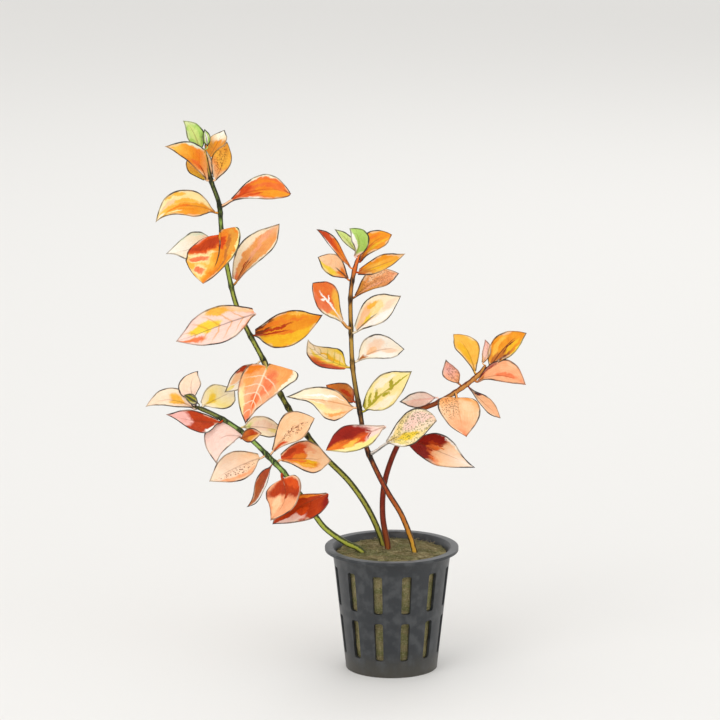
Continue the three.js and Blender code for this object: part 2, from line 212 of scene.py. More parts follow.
# Each stem: its radius at foot and tip, how long its tip tapers, the heights of joints that have lost their
# leaves, the points that it passes, and its leaves from the tip down
STEMS = {
    "tall": {
        "radii": (1.3, 0.9),
        "bud": 12.0,
        "bare_joints": (111, 105.5, 94),
        "route": [
            (-2, 6, 28), (-2.4, 6, 40), (-3.6, 6, 49.5), (-8.8, 7, 62.4), (-16.8, 8, 74.5), (-28, 9, 86.1),
            (-40.8, 8.5, 103.8), (-52, 7.5, 126.1), (-61.6, 6, 146.1), (-65.6, 4.5, 162.7), (-68, 4, 179.2),
            (-68.8, 3.5, 189.5), (-72, 3, 199.4), (-74.4, 3, 211.5),
        ],
        "leaves": [
            Leaf(210.5, (-8, 1, 13), 8, 35, 1, "green", flick=1.0, stalk=0.03),
            Leaf(211.5, (0, 2, 8), 4, 40, 0, "green"),
            Leaf(208, (7, 9, 10), 8, 45, 0, "amber", sides=("broad", "broad"), widths=(1.25, 1.2),
                 stalk=0.02),
            Leaf(199.5, (-17.6, -9, 14.7), 9, 50, 3.6, "orange", sides=("oval", "clasp"),
                 widths=(0.85, 1.5), stalk=0.02),
            Leaf(199, (7.2, -5, 16), 10, 42, -0.5, "amber", sides=("broad", "wedge"), widths=(1.1, 1.0),
                 flick=1.0, stalk=0.02),
            Leaf(199.5, (-9, 7, 9.5), 9, 35, 0.3, "amber", sides=("broad", "broad"), widths=(1.3, 0.8),
                 stalk=0.02),
            Leaf(188.5, (28.3, 8, 4.5), 11.5, 42, 3.4, "orange", sides=("wedge", "spoon"),
                 widths=(1.15, 0.95), flick=-0.8, stalk=0.14),
            Leaf(186, (-25.6, -10, -1.6), 12.5, 45, 4.5, "yellow", sides=("tailed", "oval"),
                 widths=(1.0, 1.15), flick=0.6, stalk=0.03),
            Leaf(176, (-23, 13, -8.6), 13, 49, -1.5, "cream", sides=("tailed", "oval"), widths=(0.9, 1.1),
                 flick=0.5),
            Leaf(178, (-7, -17, -17.5), 23, 30, -2.5, "orange", sides=("ear", "full"), widths=(0.8, 1.1)),
            Leaf(156, (20, 13, 22.2), 15, 35, 2, "peach", sides=("broad", "wedge"), widths=(0.9, 0.84),
                 flick=1.4, stalk=0.06),
            Leaf(144, (-25, -12, -9), 16, 34, 0.5, "peach", sides=("oval", "broad"), flick=-0.8,
                 heel=(6, -8, 2)),
            Leaf(135, (29, -13, 10.8), 15.5, 37, -1.6, "amber", sides=("broad", "oval"), flick=0.8,
                 stalk=0.01),
            Leaf(124.5, (-7.3, -19, -21), 26, 12, 0.3, "coral", sides=("wing", "round"),
                 widths=(1.04, 0.62), heel=(1, -6, -1.5)),
            Leaf(125.5, (-15.6, -2, -13), 9.5, 48, -0.8, "peach", sides=("broad", "oval"), stalk=0.04),
        ],
    },
    "low": {
        "radii": (1.3, 0.9),
        "bud": 5.0,
        "bare_joints": (),
        "route": [
            (-8, -4, 28), (-8.4, -4, 42), (-12.8, -4, 49.6), (-18.4, -4.5, 52.6), (-26.8, -5, 58.8),
            (-32, -5.5, 65.9), (-43.2, -7, 82.2), (-49.6, -7.5, 89.2), (-55.6, -8, 95.5),
            (-64.8, -8.5, 102.9), (-74.8, -9.5, 108.5), (-79.2, -10, 110.2),
        ],
        "leaves": [
            Leaf(109.6, (-21, 5, -0.4), 10, 52, 3.2, "peach", widths=(0.75, 1.15), flick=0.5, stalk=0.05),
            Leaf(110, (0.5, 8, 13), 11, 33, 2, "blush", flick=-0.8),
            Leaf(109.5, (-5.6, -3, 6), 4.4, 40, 0, "olive"),
            Leaf(109, (13, 22, 3), 12, 40, 0, "yellow", sides=("broad", "oval"), flick=0.8, stalk=0.04),
            Leaf(104.6, (-22, -13, 4.9), 11, 50, -0.9, "coral", sides=("tailed", "broad"),
                 widths=(1.15, 0.8), stalk=0.05),
            Leaf(98, (-12, -14, -8.6), 13, 38, 6, "blush", sides=("oval", "clasp"), widths=(0.85, 1.15),
                 flick=0.8, stalk=0.04),
            Leaf(100, (18, 14, -4), 10, 50, 0.8, "cream", flick=0.8, stalk=0.04),
            Leaf(98, (6.6, -7, 2.4), 6, 30, 0.3, "rust", heel=(-1.8, -4, -0.6)),
            Leaf(90, (-22, -12, -8.7), 13, 34, 1, "peach", sides=("oval", "broad"), flick=-0.6, stalk=0.06),
            Leaf(86, (22, 7, -1), 13, 27, 1, "orange", sides=("broad", "wedge"), widths=(1.1, 0.95),
                 flick=0.5, stalk=0.04),
            Leaf(86.5, (-11.2, 9, -21.5), 6, 62, -0.5, "rust", sides=("oval", "tailed"), widths=(1.6, 1.5),
                 flick=-1.2, stalk=0.02),
            Leaf(82.5, (-5.5, -12, -16.5), 17, 42, -4, "coral", sides=("round", "round"), flick=0.8),
            Leaf(66, (-15.5, -7, -4), 12.5, 38, 1, "rust", sides=("clasp", "wedge"), widths=(1.25, 0.9),
                 flick=-0.5, heel=(6, -6, 8.5)),
            Leaf(89, (18, 3, 16), 12, 34, 1.5, "peach", sides=("wedge", "wedge"), widths=(1.15, 1.05),
                 flick=-1.2, stalk=0.06),
        ],
    },
    "middle": {
        "radii": (1.2, 0.85),
        "bud": 6.0,
        "bare_joints": (),
        "route": [
            (10, -5, 28), (10, -5, 42), (8.8, -5, 50.7), (4, -5, 64.1), (-1.6, -5, 73.6),
            (-6.4, -4.5, 82.9), (-10.4, -3.5, 92.5), (-12.8, -2, 106), (-15.6, -1, 123), (-16.4, 0, 139.1),
            (-16.4, 0, 155.5), (-14.6, 0, 165), (-12.8, 0, 170.5),
        ],
        "leaves": [
            Leaf(164, (-15, -9, 18), 8, 60, 0.5, "rust", sides=("oval", "wedge"), widths=(0.7, 0.85),
                 flick=0.6, stalk=0.02),
            Leaf(170, (-10, 6, 9), 5, 50, 0.7, "green", stalk=0.03),
            Leaf(168.5, (-3, -3, 13), 8, 30, 2.6, "green", sides=("wedge", "broad"), widths=(0.9, 1.1),
                 flick=0.8, stalk=0.03),
            Leaf(167, (14, 9, 9.2), 10, 43, 2.5, "orange", sides=("wedge", "wedge"), widths=(1.0, 1.1),
                 stalk=0.02),
            Leaf(159, (-14, 8, 7.8), 9.5, 35, 1.2, "peach", sides=("oval", "wedge"), flick=-0.5,
                 stalk=0.04),
            Leaf(163, (20, -12, 8.6), 9, 58, -0.3, "amber", sides=("broad", "broad"), widths=(1.0, 1.0),
                 flick=1.0, stalk=0.02),
            Leaf(152, (19, 13, 8.2), 11, 48, 1.6, "coral", sides=("wedge", "wedge"), flick=-0.8,
                 stalk=0.05),
            Leaf(140, (-15, -14, 21), 13, 42, 0.2, "orange", sides=("spoon", "wedge"), widths=(0.95, 1.0),
                 stalk=0.16),
            Leaf(138, (20, -11, 15.8), 13, 47, 1.2, "cream", sides=("broad", "wedge"), widths=(1.15, 0.95),
                 flick=1.6, stalk=0.05),
            Leaf(124, (-19, 14, 8.1), 12, 50, -1.8, "yellow", sides=("broad", "tailed"), widths=(1.05, 1.1),
                 flick=-1.2, stalk=0.04),
            Leaf(126, (21, 11, 2.7), 12, 43, 2.5, "cream", sides=("oval", "wedge"), widths=(1.15, 0.9),
                 flick=0.6, stalk=0.05),
            Leaf(108, (-29, -3, 4), 13, 38, 1.4, "cream", sides=("swan", "oval"), widths=(1.4, 0.85),
                 flick=-1.0, stalk=0.02),
            Leaf(110, (-13, 12, 4.4), 9, 44, 0.5, "rust", sides=("broad", "oval"), stalk=0.03),
            Leaf(106, (21, -6, 17), 14, 40, 1.2, "yellow", sides=("broad", "oval"), widths=(0.95, 1.1),
                 flick=1.2, stalk=0.03),
            Leaf(97, (-15, -11, -4), 12, 33, 0.3, "maroon", sides=("oval", "wedge"), heel=(8.5, -8, 5)),
            Leaf(89, (27, -5, 15), 15, 46, 1.5, "cream", sides=("spoon", "oval"), widths=(1.05, 1.0),
                 stalk=0.24),
        ],
    },
    "right": {
        "radii": (1.3, 0.9),
        "bud": 5.0,
        "bare_joints": (),
        "route": [
            (-1, 0, 28), (-1, 0.5, 40), (-1.6, 1, 49.8), (-3.6, 2, 61.8), (-3.2, 3, 73.9), (-0.4, 4, 84.3),
            (4.4, 3.5, 95.1), (10.4, 2, 105.2), (18, 0, 109.3), (27.2, -2, 115.4), (34.8, -3, 121.8),
            (37.4, -3, 125.5),
        ],
        "leaves": [
            Leaf(121, (-9, 9, 15.4), 11, 46, 1.5, "amber", sides=("wedge", "wedge"), widths=(1.1, 1.1),
                 flick=0.6, stalk=0.04),
            Leaf(125.2, (0, 6, 9.5), 5, 50, -1.5, "blush", sides=("broad", "broad"), stalk=0.03),
            Leaf(124.7, (16, 0, 15), 12, 44, 1.2, "orange", sides=("oval", "wedge"), flick=-1.6,
                 stalk=0.02),
            Leaf(119.8, (20.2, -13, 0.4), 11, 50, 3.2, "coral", sides=("oval", "wedge"), widths=(1.3, 0.6),
                 stalk=0.03),
            Leaf(116, (-7, 10, 9.4), 9, 40, -1, "coral", sides=("tailed", "oval"), widths=(0.9, 0.8),
                 flick=-0.8, stalk=0.05),
            Leaf(110, (-16, 9, -1.6), 8.5, 30, -0.6, "blush", widths=(0.8, 0.8), flick=0.6, stalk=0.06),
            Leaf(114, (3, -18, -14), 17, 20, 0, "peach", sides=("round", "round"), widths=(1.0, 1.05),
                 flick=1.2),
            Leaf(117.4, (14, 5, -14.4), 8, 60, -0.6, "peach", sides=("wedge", "wedge"), flick=-0.8,
                 stalk=0.04),
            Leaf(95, (29, -12, -9.9), 15, 46, 0, "maroon", sides=("tailed", "broad"), flick=-0.5,
                 stalk=0.05),
        ],
    },
}

# Colours as 0 to 255
TINTS = {
    "white": (252, 248, 240),
    "cream": (251, 236, 204),
    "straw": (250, 226, 160),
    "lemon": (246, 230, 146),
    "yellow": (243, 209, 66),
    "gold": (240, 184, 36),
    "honey": (246, 186, 72),
    "amber": (236, 150, 30),
    "ochre": (226, 154, 56),
    "tan": (196, 116, 46),
    "orange": (236, 132, 34),
    "flame": (234, 116, 48),
    "vermilion": (218, 80, 22),
    "rust": (184, 60, 12),
    "brown": (128, 62, 30),
    "maroon": (148, 28, 12),
    "dark": (54, 48, 46),
    "coral": (238, 128, 80),
    "salmon": (247, 175, 128),
    "apricot": (241, 166, 92),
    "peach": (251, 203, 156),
    "shell": (252, 222, 194),
    "blush": (250, 214, 200),
    "pink": (246, 188, 178),
    "green": (176, 210, 106),
    "lime": (206, 222, 128),
    "mist": (228, 236, 208),
    "olive": (176, 164, 44),
    "moss": (106, 108, 46),
}


class Look(NamedTuple):
    """How one leaf is coloured. Along: its tint, or its tints by place from the foot, 0, to the tip, 1.
    Spots: place along and across (0 on the rib, 1 and -1 at the margins), half length, half width and tint.
    Rib: tint, strength, and how far up its line runs. Veins: tint and strength. Specks: as a spot, and their
    strength. Stalk: its tint, where it isn't the foot's. Bare: strength of bare patches along the margins."""

    along: object
    spots: tuple = ()
    rib: tuple = ("brown", 0.35, 0.75)
    veins: tuple = None
    specks: tuple = None
    stalk: str = None
    bare: float = 0.4

    def stops(self):
        """The tints along the leaf, as pairs of place and tint."""
        return [(0, self.along), (1, self.along)] if isinstance(self.along, str) else self.along


# In the order of each stem's leaves
LOOKS = {
    "tall": [
        Look("green", [(0.5, 0, 0.35, 0.5, "lime")]),
        Look("green", [(0.5, 0, 0.5, 0.3, "white")], rib=("dark", 0.7, 0.9)),
        Look([(0, "amber"), (0.4, "ochre"), (0.64, "cream"), (1, "white")], [
            (0.5, -0.1, 0.15, 0.4, "amber"),
        ]),
        Look([
            (0, "peach"), (0.18, "apricot"), (0.36, "orange"), (0.5, "amber"), (0.8, "honey"), (1, "amber"),
        ], [
            (0.65, -0.98, 0.38, 0.26, "mist"), (0.36, 0.2, 0.16, 0.3, "flame"),
        ], rib=("brown", 0.8, 0.3)),
        Look([(0, "peach"), (0.25, "apricot"), (0.4, "honey"), (1, "ochre")], [
            (0.6, -0.5, 0.25, 0.3, "honey"),
        ], specks=(0.58, 0.3, 0.4, 0.6, "brown", 0.6)),
        Look([(0, "yellow"), (0.4, "honey")], bare=0.0),
        Look([(0, "salmon"), (0.14, "vermilion"), (0.3, "flame"), (0.9, "flame"), (1, "brown")], [
            (0.6, 0.98, 0.4, 0.2, "cream"), (0.35, -0.95, 0.18, 0.25, "white"),
            (0.75, -0.45, 0.24, 0.45, "amber"), (0.28, 0.3, 0.16, 0.4, "vermilion"),
            (0.55, 0.0, 0.14, 0.14, "orange"), (0.62, 0.5, 0.2, 0.12, "orange"),
            (0.45, -0.3, 0.12, 0.1, "vermilion"),
        ], rib=("rust", 0.5, 0.85), stalk="peach"),
        Look([(0, "ochre"), (0.25, "amber"), (0.8, "honey"), (1, "straw")], [
            (0.55, -0.66, 0.45, 0.4, "straw"), (0.95, 0, 0.12, 0.6, "cream"),
            (0.45, 0.3, 0.3, 0.14, "amber"), (0.6, 0.02, 0.22, 0.1, "orange"),
            (0.5, -0.35, 0.2, 0.12, "honey"), (0.6, -0.8, 0.12, 0.14, "honey"),
            (0.75, -0.5, 0.12, 0.14, "peach"), (0.7, 0.4, 0.1, 0.1, "straw"),
        ], rib=("tan", 0.6, 0.5), stalk="ochre"),
        Look([(0, "shell"), (0.3, "cream"), (1, "white")], [(0.5, -0.95, 0.4, 0.2, "mist")]),
        Look([(0, "orange"), (0.5, "amber"), (1, "orange")], [
            (0.62, -0.55, 0.4, 0.5, "honey"), (0.42, -0.55, 0.05, 0.45, "straw"),
            (0.2, -0.56, 0.21, 0.56, "vermilion"), (0.55, -0.6, 0.12, 0.36, "straw"),
            (0.55, -0.6, 0.075, 0.3, "coral"), (0.8, -0.5, 0.12, 0.3, "straw"),
            (0.8, -0.5, 0.075, 0.25, "coral"), (0.2, 0.12, 0.11, 0.14, "vermilion"),
            (0.5, 0.5, 0.3, 0.09, "tan"), (0.25, 0.6, 0.14, 0.2, "ochre"), (0.3, 0.4, 0.16, 0.1, "tan"),
            (0.66, 0.3, 0.16, 0.07, "orange"), (0.2, -0.4, 0.1, 0.5, "rust"),
            (0.3, 0.97, 0.3, 0.14, "lemon"),
        ], rib=("dark", 0.95, 0.6), stalk="amber"),
        Look([(0, "coral"), (0.12, "apricot"), (0.7, "apricot"), (1, "peach")], [
            (0.5, 0.78, 0.45, 0.3, "cream"), (0.26, -0.3, 0.12, 0.06, "rust"),
            (0.55, -0.95, 0.4, 0.22, "cream"), (0.5, 0.0, 0.2, 0.14, "salmon"),
            (0.22, 0.05, 0.12, 0.06, "rust"), (0.78, 0.25, 0.14, 0.3, "salmon"),
        ], rib=("brown", 0.6, 0.4), stalk="ochre"),
        Look([(0, "orange"), (0.1, "blush"), (0.9, "blush"), (1, "brown")], [
            (0.42, -0.82, 0.16, 0.28, "honey"), (0.65, -0.22, 0.19, 0.28, "yellow"),
            (0.82, 0.5, 0.13, 0.28, "coral"), (0.2, -0.7, 0.12, 0.3, "peach"),
        ], rib=("dark", 0.5, 0.88), veins=("ochre", 0.6), stalk="blush"),
        Look([(0, "brown"), (0.1, "tan"), (0.22, "amber")], [
            (0.5, -0.55, 0.4, 0.42, "gold"), (0.16, 0.5, 0.12, 0.5, "brown"),
            (0.34, 0.3, 0.22, 0.1, "rust"), (0.28, 0.6, 0.2, 0.12, "orange"),
            (0.25, 0.05, 0.2, 0.06, "rust"), (0.6, 0.5, 0.2, 0.1, "orange"),
            (0.75, 0.85, 0.2, 0.15, "honey"), (0.45, -0.15, 0.16, 0.08, "orange"),
        ], rib=("rust", 0.9, 0.5), stalk="brown"),
        Look([(0, "apricot"), (0.3, "salmon"), (0.6, "salmon"), (0.86, "coral"), (1, "pink")], [
            (0.14, 0.5, 0.1, 0.45, "apricot"), (0.3, 0.3, 0.2, 0.24, "coral"),
            (0.6, 0.1, 0.13, 0.34, "coral"), (0.64, 0.1, 0.08, 0.2, "flame"),
            (0.36, -0.55, 0.12, 0.24, "apricot"), (0.12, -0.7, 0.14, 0.4, "orange"),
            (0.2, 0.95, 0.2, 0.14, "cream"), (0.7, -0.8, 0.25, 0.24, "straw"),
        ], rib=("cream", 0.7, 0.7), veins=("cream", 0.6), stalk="olive"),
        Look([(0, "cream"), (1, "white")], [
            (0.3, -0.62, 0.3, 0.36, "rust"), (0.6, -0.4, 0.2, 0.3, "peach"), (0.85, 0, 0.12, 0.5, "lemon"),
        ]),
    ],
    "low": [
        Look("shell", [(0.35, 0, 0.14, 0.5, "honey")]),
        Look([(0, "blush"), (0.5, "shell")]),
        Look("moss", [
            (0.5, 0.5, 0.5, 0.1, "olive"), (0.5, -0.4, 0.4, 0.12, "olive"),
        ], rib=("dark", 0.9, 0.9)),
        Look([(0, "cream"), (0.3, "lemon"), (1, "white")], [(0.3, 0.1, 0.15, 0.35, "yellow")]),
        Look([(0.47, "rust"), (0.54, "pink")], [(0.2, 0.88, 0.2, 0.28, "white")]),
        Look("blush", rib=("brown", 0.3, 0.5)),
        Look([(0, "straw"), (0.3, "cream")], [
            (0.08, 0, 0.09, 0.6, "lime"), (0.5, 0.2, 0.25, 0.5, "shell"), (0.8, -0.3, 0.2, 0.4, "lemon"),
        ]),
        Look([(0, "tan"), (0.6, "rust"), (1, "tan")], [(0.7, -0.5, 0.3, 0.4, "ochre")]),
        Look([(0, "peach"), (0.5, "shell")], [
            (0.5, 0.85, 0.4, 0.28, "salmon"),
        ], specks=(0.5, 0.3, 0.42, 0.24, "brown", 0.8)),
        Look("peach", [
            (0.28, 0.4, 0.28, 0.55, "vermilion"), (0.5, -0.35, 0.26, 0.3, "amber"),
            (0.2, 0.5, 0.14, 0.26, "rust"), (0.42, 0.1, 0.12, 0.2, "orange"),
            (0.15, -0.4, 0.12, 0.34, "orange"), (0.6, -0.2, 0.14, 0.14, "gold"),
            (0.36, -0.2, 0.2, 0.08, "flame"), (0.52, -0.5, 0.16, 0.1, "honey"),
            (0.6, 0.5, 0.1, 0.16, "salmon"),
        ]),
        Look([(0, "rust"), (1, "tan")], [(0.5, 0.85, 0.5, 0.3, "white")]),
        Look([(0.9, "salmon"), (1, "brown")], [
            (0.2, 0.1, 0.2, 1.1, "rust"), (0.38, 0.1, 0.08, 0.12, "rust"), (0.38, 0.6, 0.1, 0.16, "rust"),
            (0.2, 0.5, 0.1, 0.3, "vermilion"), (0.4, -0.4, 0.06, 0.12, "vermilion"),
            (0.65, -0.4, 0.25, 0.3, "peach"),
        ], stalk="rust"),
        Look([(0, "maroon"), (0.08, "rust")], [
            (0.3, -0.75, 0.2, 0.22, "orange"), (0.78, 0.65, 0.27, 0.38, "blush"),
            (0.5, 0.3, 0.1, 0.2, "vermilion"),
        ], stalk="rust"),
        Look("peach", [
            (0.2, -0.42, 0.12, 0.42, "vermilion"),
        ], specks=(0.55, -0.15, 0.3, 0.26, "brown", 0.9)),
    ],
    "middle": [
        Look([(0.35, "orange"), (0.5, "vermilion"), (1, "rust")], [(0.75, 0.85, 0.22, 0.3, "white")]),
        Look("lime"),
        Look([(0, "blush"), (0.12, "green")], [(0.55, 0.65, 0.4, 0.35, "white")]),
        Look([(0, "rust"), (0.2, "amber")], [
            (0.55, 0.5, 0.3, 0.16, "orange"), (0.6, -0.4, 0.3, 0.14, "gold"), (0.3, 0, 0.2, 0.1, "flame"),
        ]),
        Look([(0, "orange"), (0.25, "peach")], [
            (0.6, 0.7, 0.3, 0.36, "yellow"), (0.2, 0, 0.14, 0.5, "orange"),
        ], rib=("dark", 0.8, 0.45)),
        Look([(0, "rust"), (0.18, "ochre"), (0.4, "honey"), (1, "amber")], [
            (0.5, 0.7, 0.4, 0.3, "amber"), (0.22, -0.3, 0.16, 0.2, "tan"), (0.6, -0.3, 0.3, 0.16, "gold"),
        ]),
        Look([(0, "tan"), (0.14, "ochre"), (0.3, "apricot"), (1, "salmon")], [
            (0.4, -0.4, 0.3, 0.16, "salmon"), (0.6, 0.4, 0.2, 0.2, "peach"),
        ], specks=(0.5, 0, 0.5, 0.9, "brown", 0.45)),
        Look([(0, "ochre"), (0.34, "honey"), (0.44, "coral"), (0.7, "flame")], [
            (0.75, -0.4, 0.25, 0.5, "flame"), (0.55, 0, 0.24, 0.09, "white"),
            (0.68, 0.2, 0.025, 0.25, "white"), (0.6, -0.2, 0.02, 0.2, "white"),
            (0.35, 0.9, 0.3, 0.3, "cream"), (0.7, 0.6, 0.2, 0.25, "coral"),
            (0.44, -0.55, 0.18, 0.4, "honey"),
        ], rib=("white", 0.6, 0.75)),
        Look("cream", [
            (0.3, 0.38, 0.22, 0.42, "peach"), (0.4, 0.14, 0.15, 0.12, "yellow"),
            (0.55, 0.3, 0.14, 0.3, "straw"), (0.5, 0.55, 0.1, 0.14, "honey"),
            (0.3, -0.12, 0.14, 0.08, "honey"), (0.5, -0.55, 0.4, 0.4, "white"),
            (0.8, 0.1, 0.15, 0.3, "shell"),
        ], rib=("dark", 0.75, 0.5)),
        Look([(0.3, "yellow"), (0.5, "straw"), (0.7, "cream")], [
            (0.5, 0.35, 0.3, 0.2, "yellow"), (0.36, 0.72, 0.36, 0.48, "orange"),
            (0.32, 0.8, 0.3, 0.38, "rust"), (0.3, -0.5, 0.16, 0.2, "straw"), (0.45, -0.2, 0.2, 0.1, "gold"),
        ], veins=("olive", 0.7), bare=0.0),
        Look([(0, "cream"), (0.4, "white"), (1, "cream")], [
            (0.45, 0.3, 0.2, 0.4, "shell"), (0.7, -0.2, 0.16, 0.3, "shell"), (0.35, 0.1, 0.1, 0.2, "peach"),
            (0.12, -0.1, 0.08, 0.4, "tan"),
        ], stalk="cream"),
        Look([(0.2, "peach"), (0.4, "cream")], [
            (0.5, -0.4, 0.26, 0.08, "white"), (0.45, 0.5, 0.24, 0.25, "straw"),
            (0.3, 0.1, 0.16, 0.3, "peach"), (0.3, 0.7, 0.14, 0.12, "apricot"),
            (0.6, 0.1, 0.2, 0.1, "peach"),
        ], rib=("tan", 0.5, 0.8)),
        Look([(0, "rust"), (0.25, "tan"), (0.6, "tan"), (1, "orange")], [
            (0.5, 0.8, 0.4, 0.3, "amber"), (0.4, -0.3, 0.2, 0.2, "rust"),
        ], bare=0.1),
        Look([(0, "olive"), (0.06, "lemon"), (0.5, "straw"), (1, "lemon")], [
            (0.26, 0.02, 0.16, 0.12, "olive"), (0.2, 0.3, 0.04, 0.35, "olive"),
            (0.34, 0.28, 0.035, 0.3, "olive"), (0.62, 0.16, 0.035, 0.3, "olive"),
            (0.72, 0, 0.2, 0.1, "olive"), (0.5, -0.14, 0.06, 0.14, "olive"),
            (0.35, -0.6, 0.3, 0.25, "cream"), (0.55, 0.6, 0.2, 0.2, "cream"),
        ], rib=("olive", 0.9, 0.95), stalk="olive"),
        Look([(0.28, "blush"), (0.34, "vermilion"), (1, "orange")], [
            (0.66, -0.6, 0.38, 0.52, "maroon"), (0.62, 0.3, 0.13, 0.22, "honey"),
            (0.6, 0.82, 0.4, 0.32, "lemon"), (0.3, -0.2, 0.025, 0.2, "maroon"),
            (0.33, 0.25, 0.02, 0.2, "maroon"),
        ]),
        Look([(0.26, "white"), (0.34, "straw"), (0.6, "cream"), (1, "shell")], [
            (0.42, 0.3, 0.12, 0.5, "straw"), (0.56, -0.35, 0.19, 0.3, "yellow"),
            (0.42, -0.6, 0.1, 0.25, "lemon"), (0.74, 0.45, 0.2, 0.4, "blush"),
            (0.8, -0.7, 0.18, 0.2, "straw"),
        ], specks=(0.58, 0, 0.42, 1.0, "moss", 0.7)),
    ],
    "right": [
        Look("honey", [(0.5, 0.3, 0.26, 0.35, "gold")]),
        Look([(0, "ochre"), (0.3, "blush"), (1, "pink")]),
        Look([(0, "ochre"), (0.25, "amber")], [
            (0.35, -0.35, 0.3, 0.42, "tan"), (0.3, -0.6, 0.2, 0.2, "brown"), (0.65, -0.4, 0.2, 0.2, "gold"),
            (0.72, -0.95, 0.28, 0.16, "yellow"), (0.25, 0.15, 0.16, 0.2, "tan"),
            (0.5, 0.5, 0.2, 0.2, "honey"), (0.6, -0.15, 0.16, 0.06, "brown"),
        ], rib=("brown", 0.95, 0.75), stalk="brown"),
        Look([(0.7, "salmon"), (1, "coral")], [
            (0.2, 0.85, 0.2, 0.3, "maroon"), (0.1, 0.1, 0.08, 0.4, "tan"), (0.6, 0.1, 0.2, 0.2, "coral"),
        ], stalk="tan", bare=0.15),
        Look([(0, "tan"), (0.16, "salmon"), (0.6, "pink"), (1, "salmon")],
             specks=(0.4, -0.2, 0.35, 0.7, "brown", 0.55)),
        Look([(0, "blush"), (1, "white")], [(0.55, 0.3, 0.35, 0.5, "blush")], rib=("pink", 0.6, 0.7)),
        Look([(0, "apricot"), (0.3, "peach"), (0.75, "salmon"), (1, "coral")], [
            (0.35, 0.4, 0.2, 0.3, "peach"),
        ], rib=("tan", 0.4, 0.7), specks=(0.27, -0.45, 0.34, 0.5, "brown", 0.7)),
        Look([(0, "maroon"), (0.1, "peach"), (1, "salmon")], [
            (0.18, 0.5, 0.15, 0.7, "maroon"), (0.2, 0.4, 0.1, 0.24, "dark"), (0.2, -0.3, 0.1, 0.3, "tan"),
        ], stalk="maroon"),
        Look([(0.27, "maroon"), (0.34, "flame"), (0.42, "peach"), (0.7, "shell"), (1, "white")], [
            (0.28, 0.6, 0.24, 0.34, "maroon"), (0.37, 0.05, 0.08, 0.14, "flame"),
            (0.4, 0.35, 0.08, 0.08, "rust"), (0.38, -0.45, 0.07, 0.1, "maroon"),
            (0.65, 0.96, 0.3, 0.14, "white"), (0.36, -0.15, 0.05, 0.1, "rust"),
            (0.46, 0.2, 0.05, 0.05, "orange"),
        ], stalk="maroon"),
    ],
}

# Each stem's colours by height, the dark of its joints and of the painted shade on its two sides as seen from
# the front, the height above which its joints stay pale, where that painted side shade begins (0 is the
# middle of the stem, 1 its side), and its pale streaks
STEM_SKINS = {
    "tall": {
        "tints": [
            (50, (166, 162, 66)), (90, (172, 176, 74)), (150, (168, 184, 80)), (186, (140, 172, 78)),
            (194, (84, 100, 52)), (200, (44, 46, 30)), (203, (150, 104, 46)), (208, (214, 160, 72)),
        ],
        "dark": (32, 36, 22),
        "dark_top": 203,
        "side_shade_start": 0.28,
        "streak": (186, 190, 88),
    },
    "low": {
        "tints": [
            (50, (172, 176, 66)), (66, (182, 198, 82)), (90, (164, 208, 104)), (104, (128, 156, 80)),
            (110, (120, 90, 46)),
        ],
        "dark": (44, 50, 28),
        "dark_top": 112,
        "side_shade_start": 0.32,
        "streak": (184, 198, 106),
    },
    "middle": {
        "tints": [
            (50, (222, 172, 60)), (62, (192, 108, 36)), (75, (148, 54, 22)), (98, (98, 52, 30)),
            (106, (72, 60, 44)), (113, (124, 104, 50)), (124, (178, 134, 58)), (140, (186, 148, 62)),
            (160, (186, 112, 48)), (165, (224, 108, 44)),
        ],
        "dark": (40, 30, 22),
        "dark_top": 162,
        "side_shade_start": 0.4,
        "streak": (196, 136, 62),
    },
    "right": {
        "tints": [
            (50, (146, 84, 36)), (60, (128, 40, 18)), (92, (122, 32, 14)), (100, (176, 110, 48)),
            (104.5, (204, 166, 66)), (108, (150, 66, 34)), (112, (190, 128, 62)), (125, (206, 144, 70)),
        ],
        "dark": (96, 40, 20),
        "dark_top": 111,
        "side_shade_start": 0.4,
        "streak": (164, 72, 34),
    },
}
# Heights that the colours lie between, in millimetres
STEM_TINT_LOW = 45.0
STEM_TINT_HIGH = 215.0


# Settings that a user would change


class PotSettings(bpy.types.PropertyGroup):
    """Sizes and colour of the growing pot"""

    height: bpy.props.FloatProperty(
        name="Height", description="From the foot to the top of the lip", default=0.050, unit="LENGTH"
    )
    foot_radius: bpy.props.FloatProperty(
        name="Foot radius", description="Outside radius at the foot", default=0.0185, unit="LENGTH"
    )
    top_radius: bpy.props.FloatProperty(
        name="Top radius", description="Outside radius just under the lip", default=0.024, unit="LENGTH"
    )
    rim_radius: bpy.props.FloatProperty(
        name="Rim radius", description="Outside radius of the lip", default=0.027, unit="LENGTH"
    )
    wall: bpy.props.FloatProperty(
        name="Wall", description="Thickness of the wall", default=0.0012, unit="LENGTH"
    )
    colour: bpy.props.FloatVectorProperty(
        name="Colour", description="Colour of the plastic", default=(0.018, 0.021, 0.025), subtype="COLOR"
    )


class WoolSettings(bpy.types.PropertyGroup):
    """Height, colour and fibres of the mineral wool"""

    crown: bpy.props.FloatProperty(
        name="Crown", description="Height of the plug's top", default=0.0488, unit="LENGTH"
    )
    colour: bpy.props.FloatVectorProperty(
        name="Colour", description="Colour of the fibres", default=(0.33, 0.27, 0.13), subtype="COLOR"
    )
    fibres: bpy.props.IntProperty(
        name="Fibres", description="Number of loose fibres on the plug", default=1500
    )


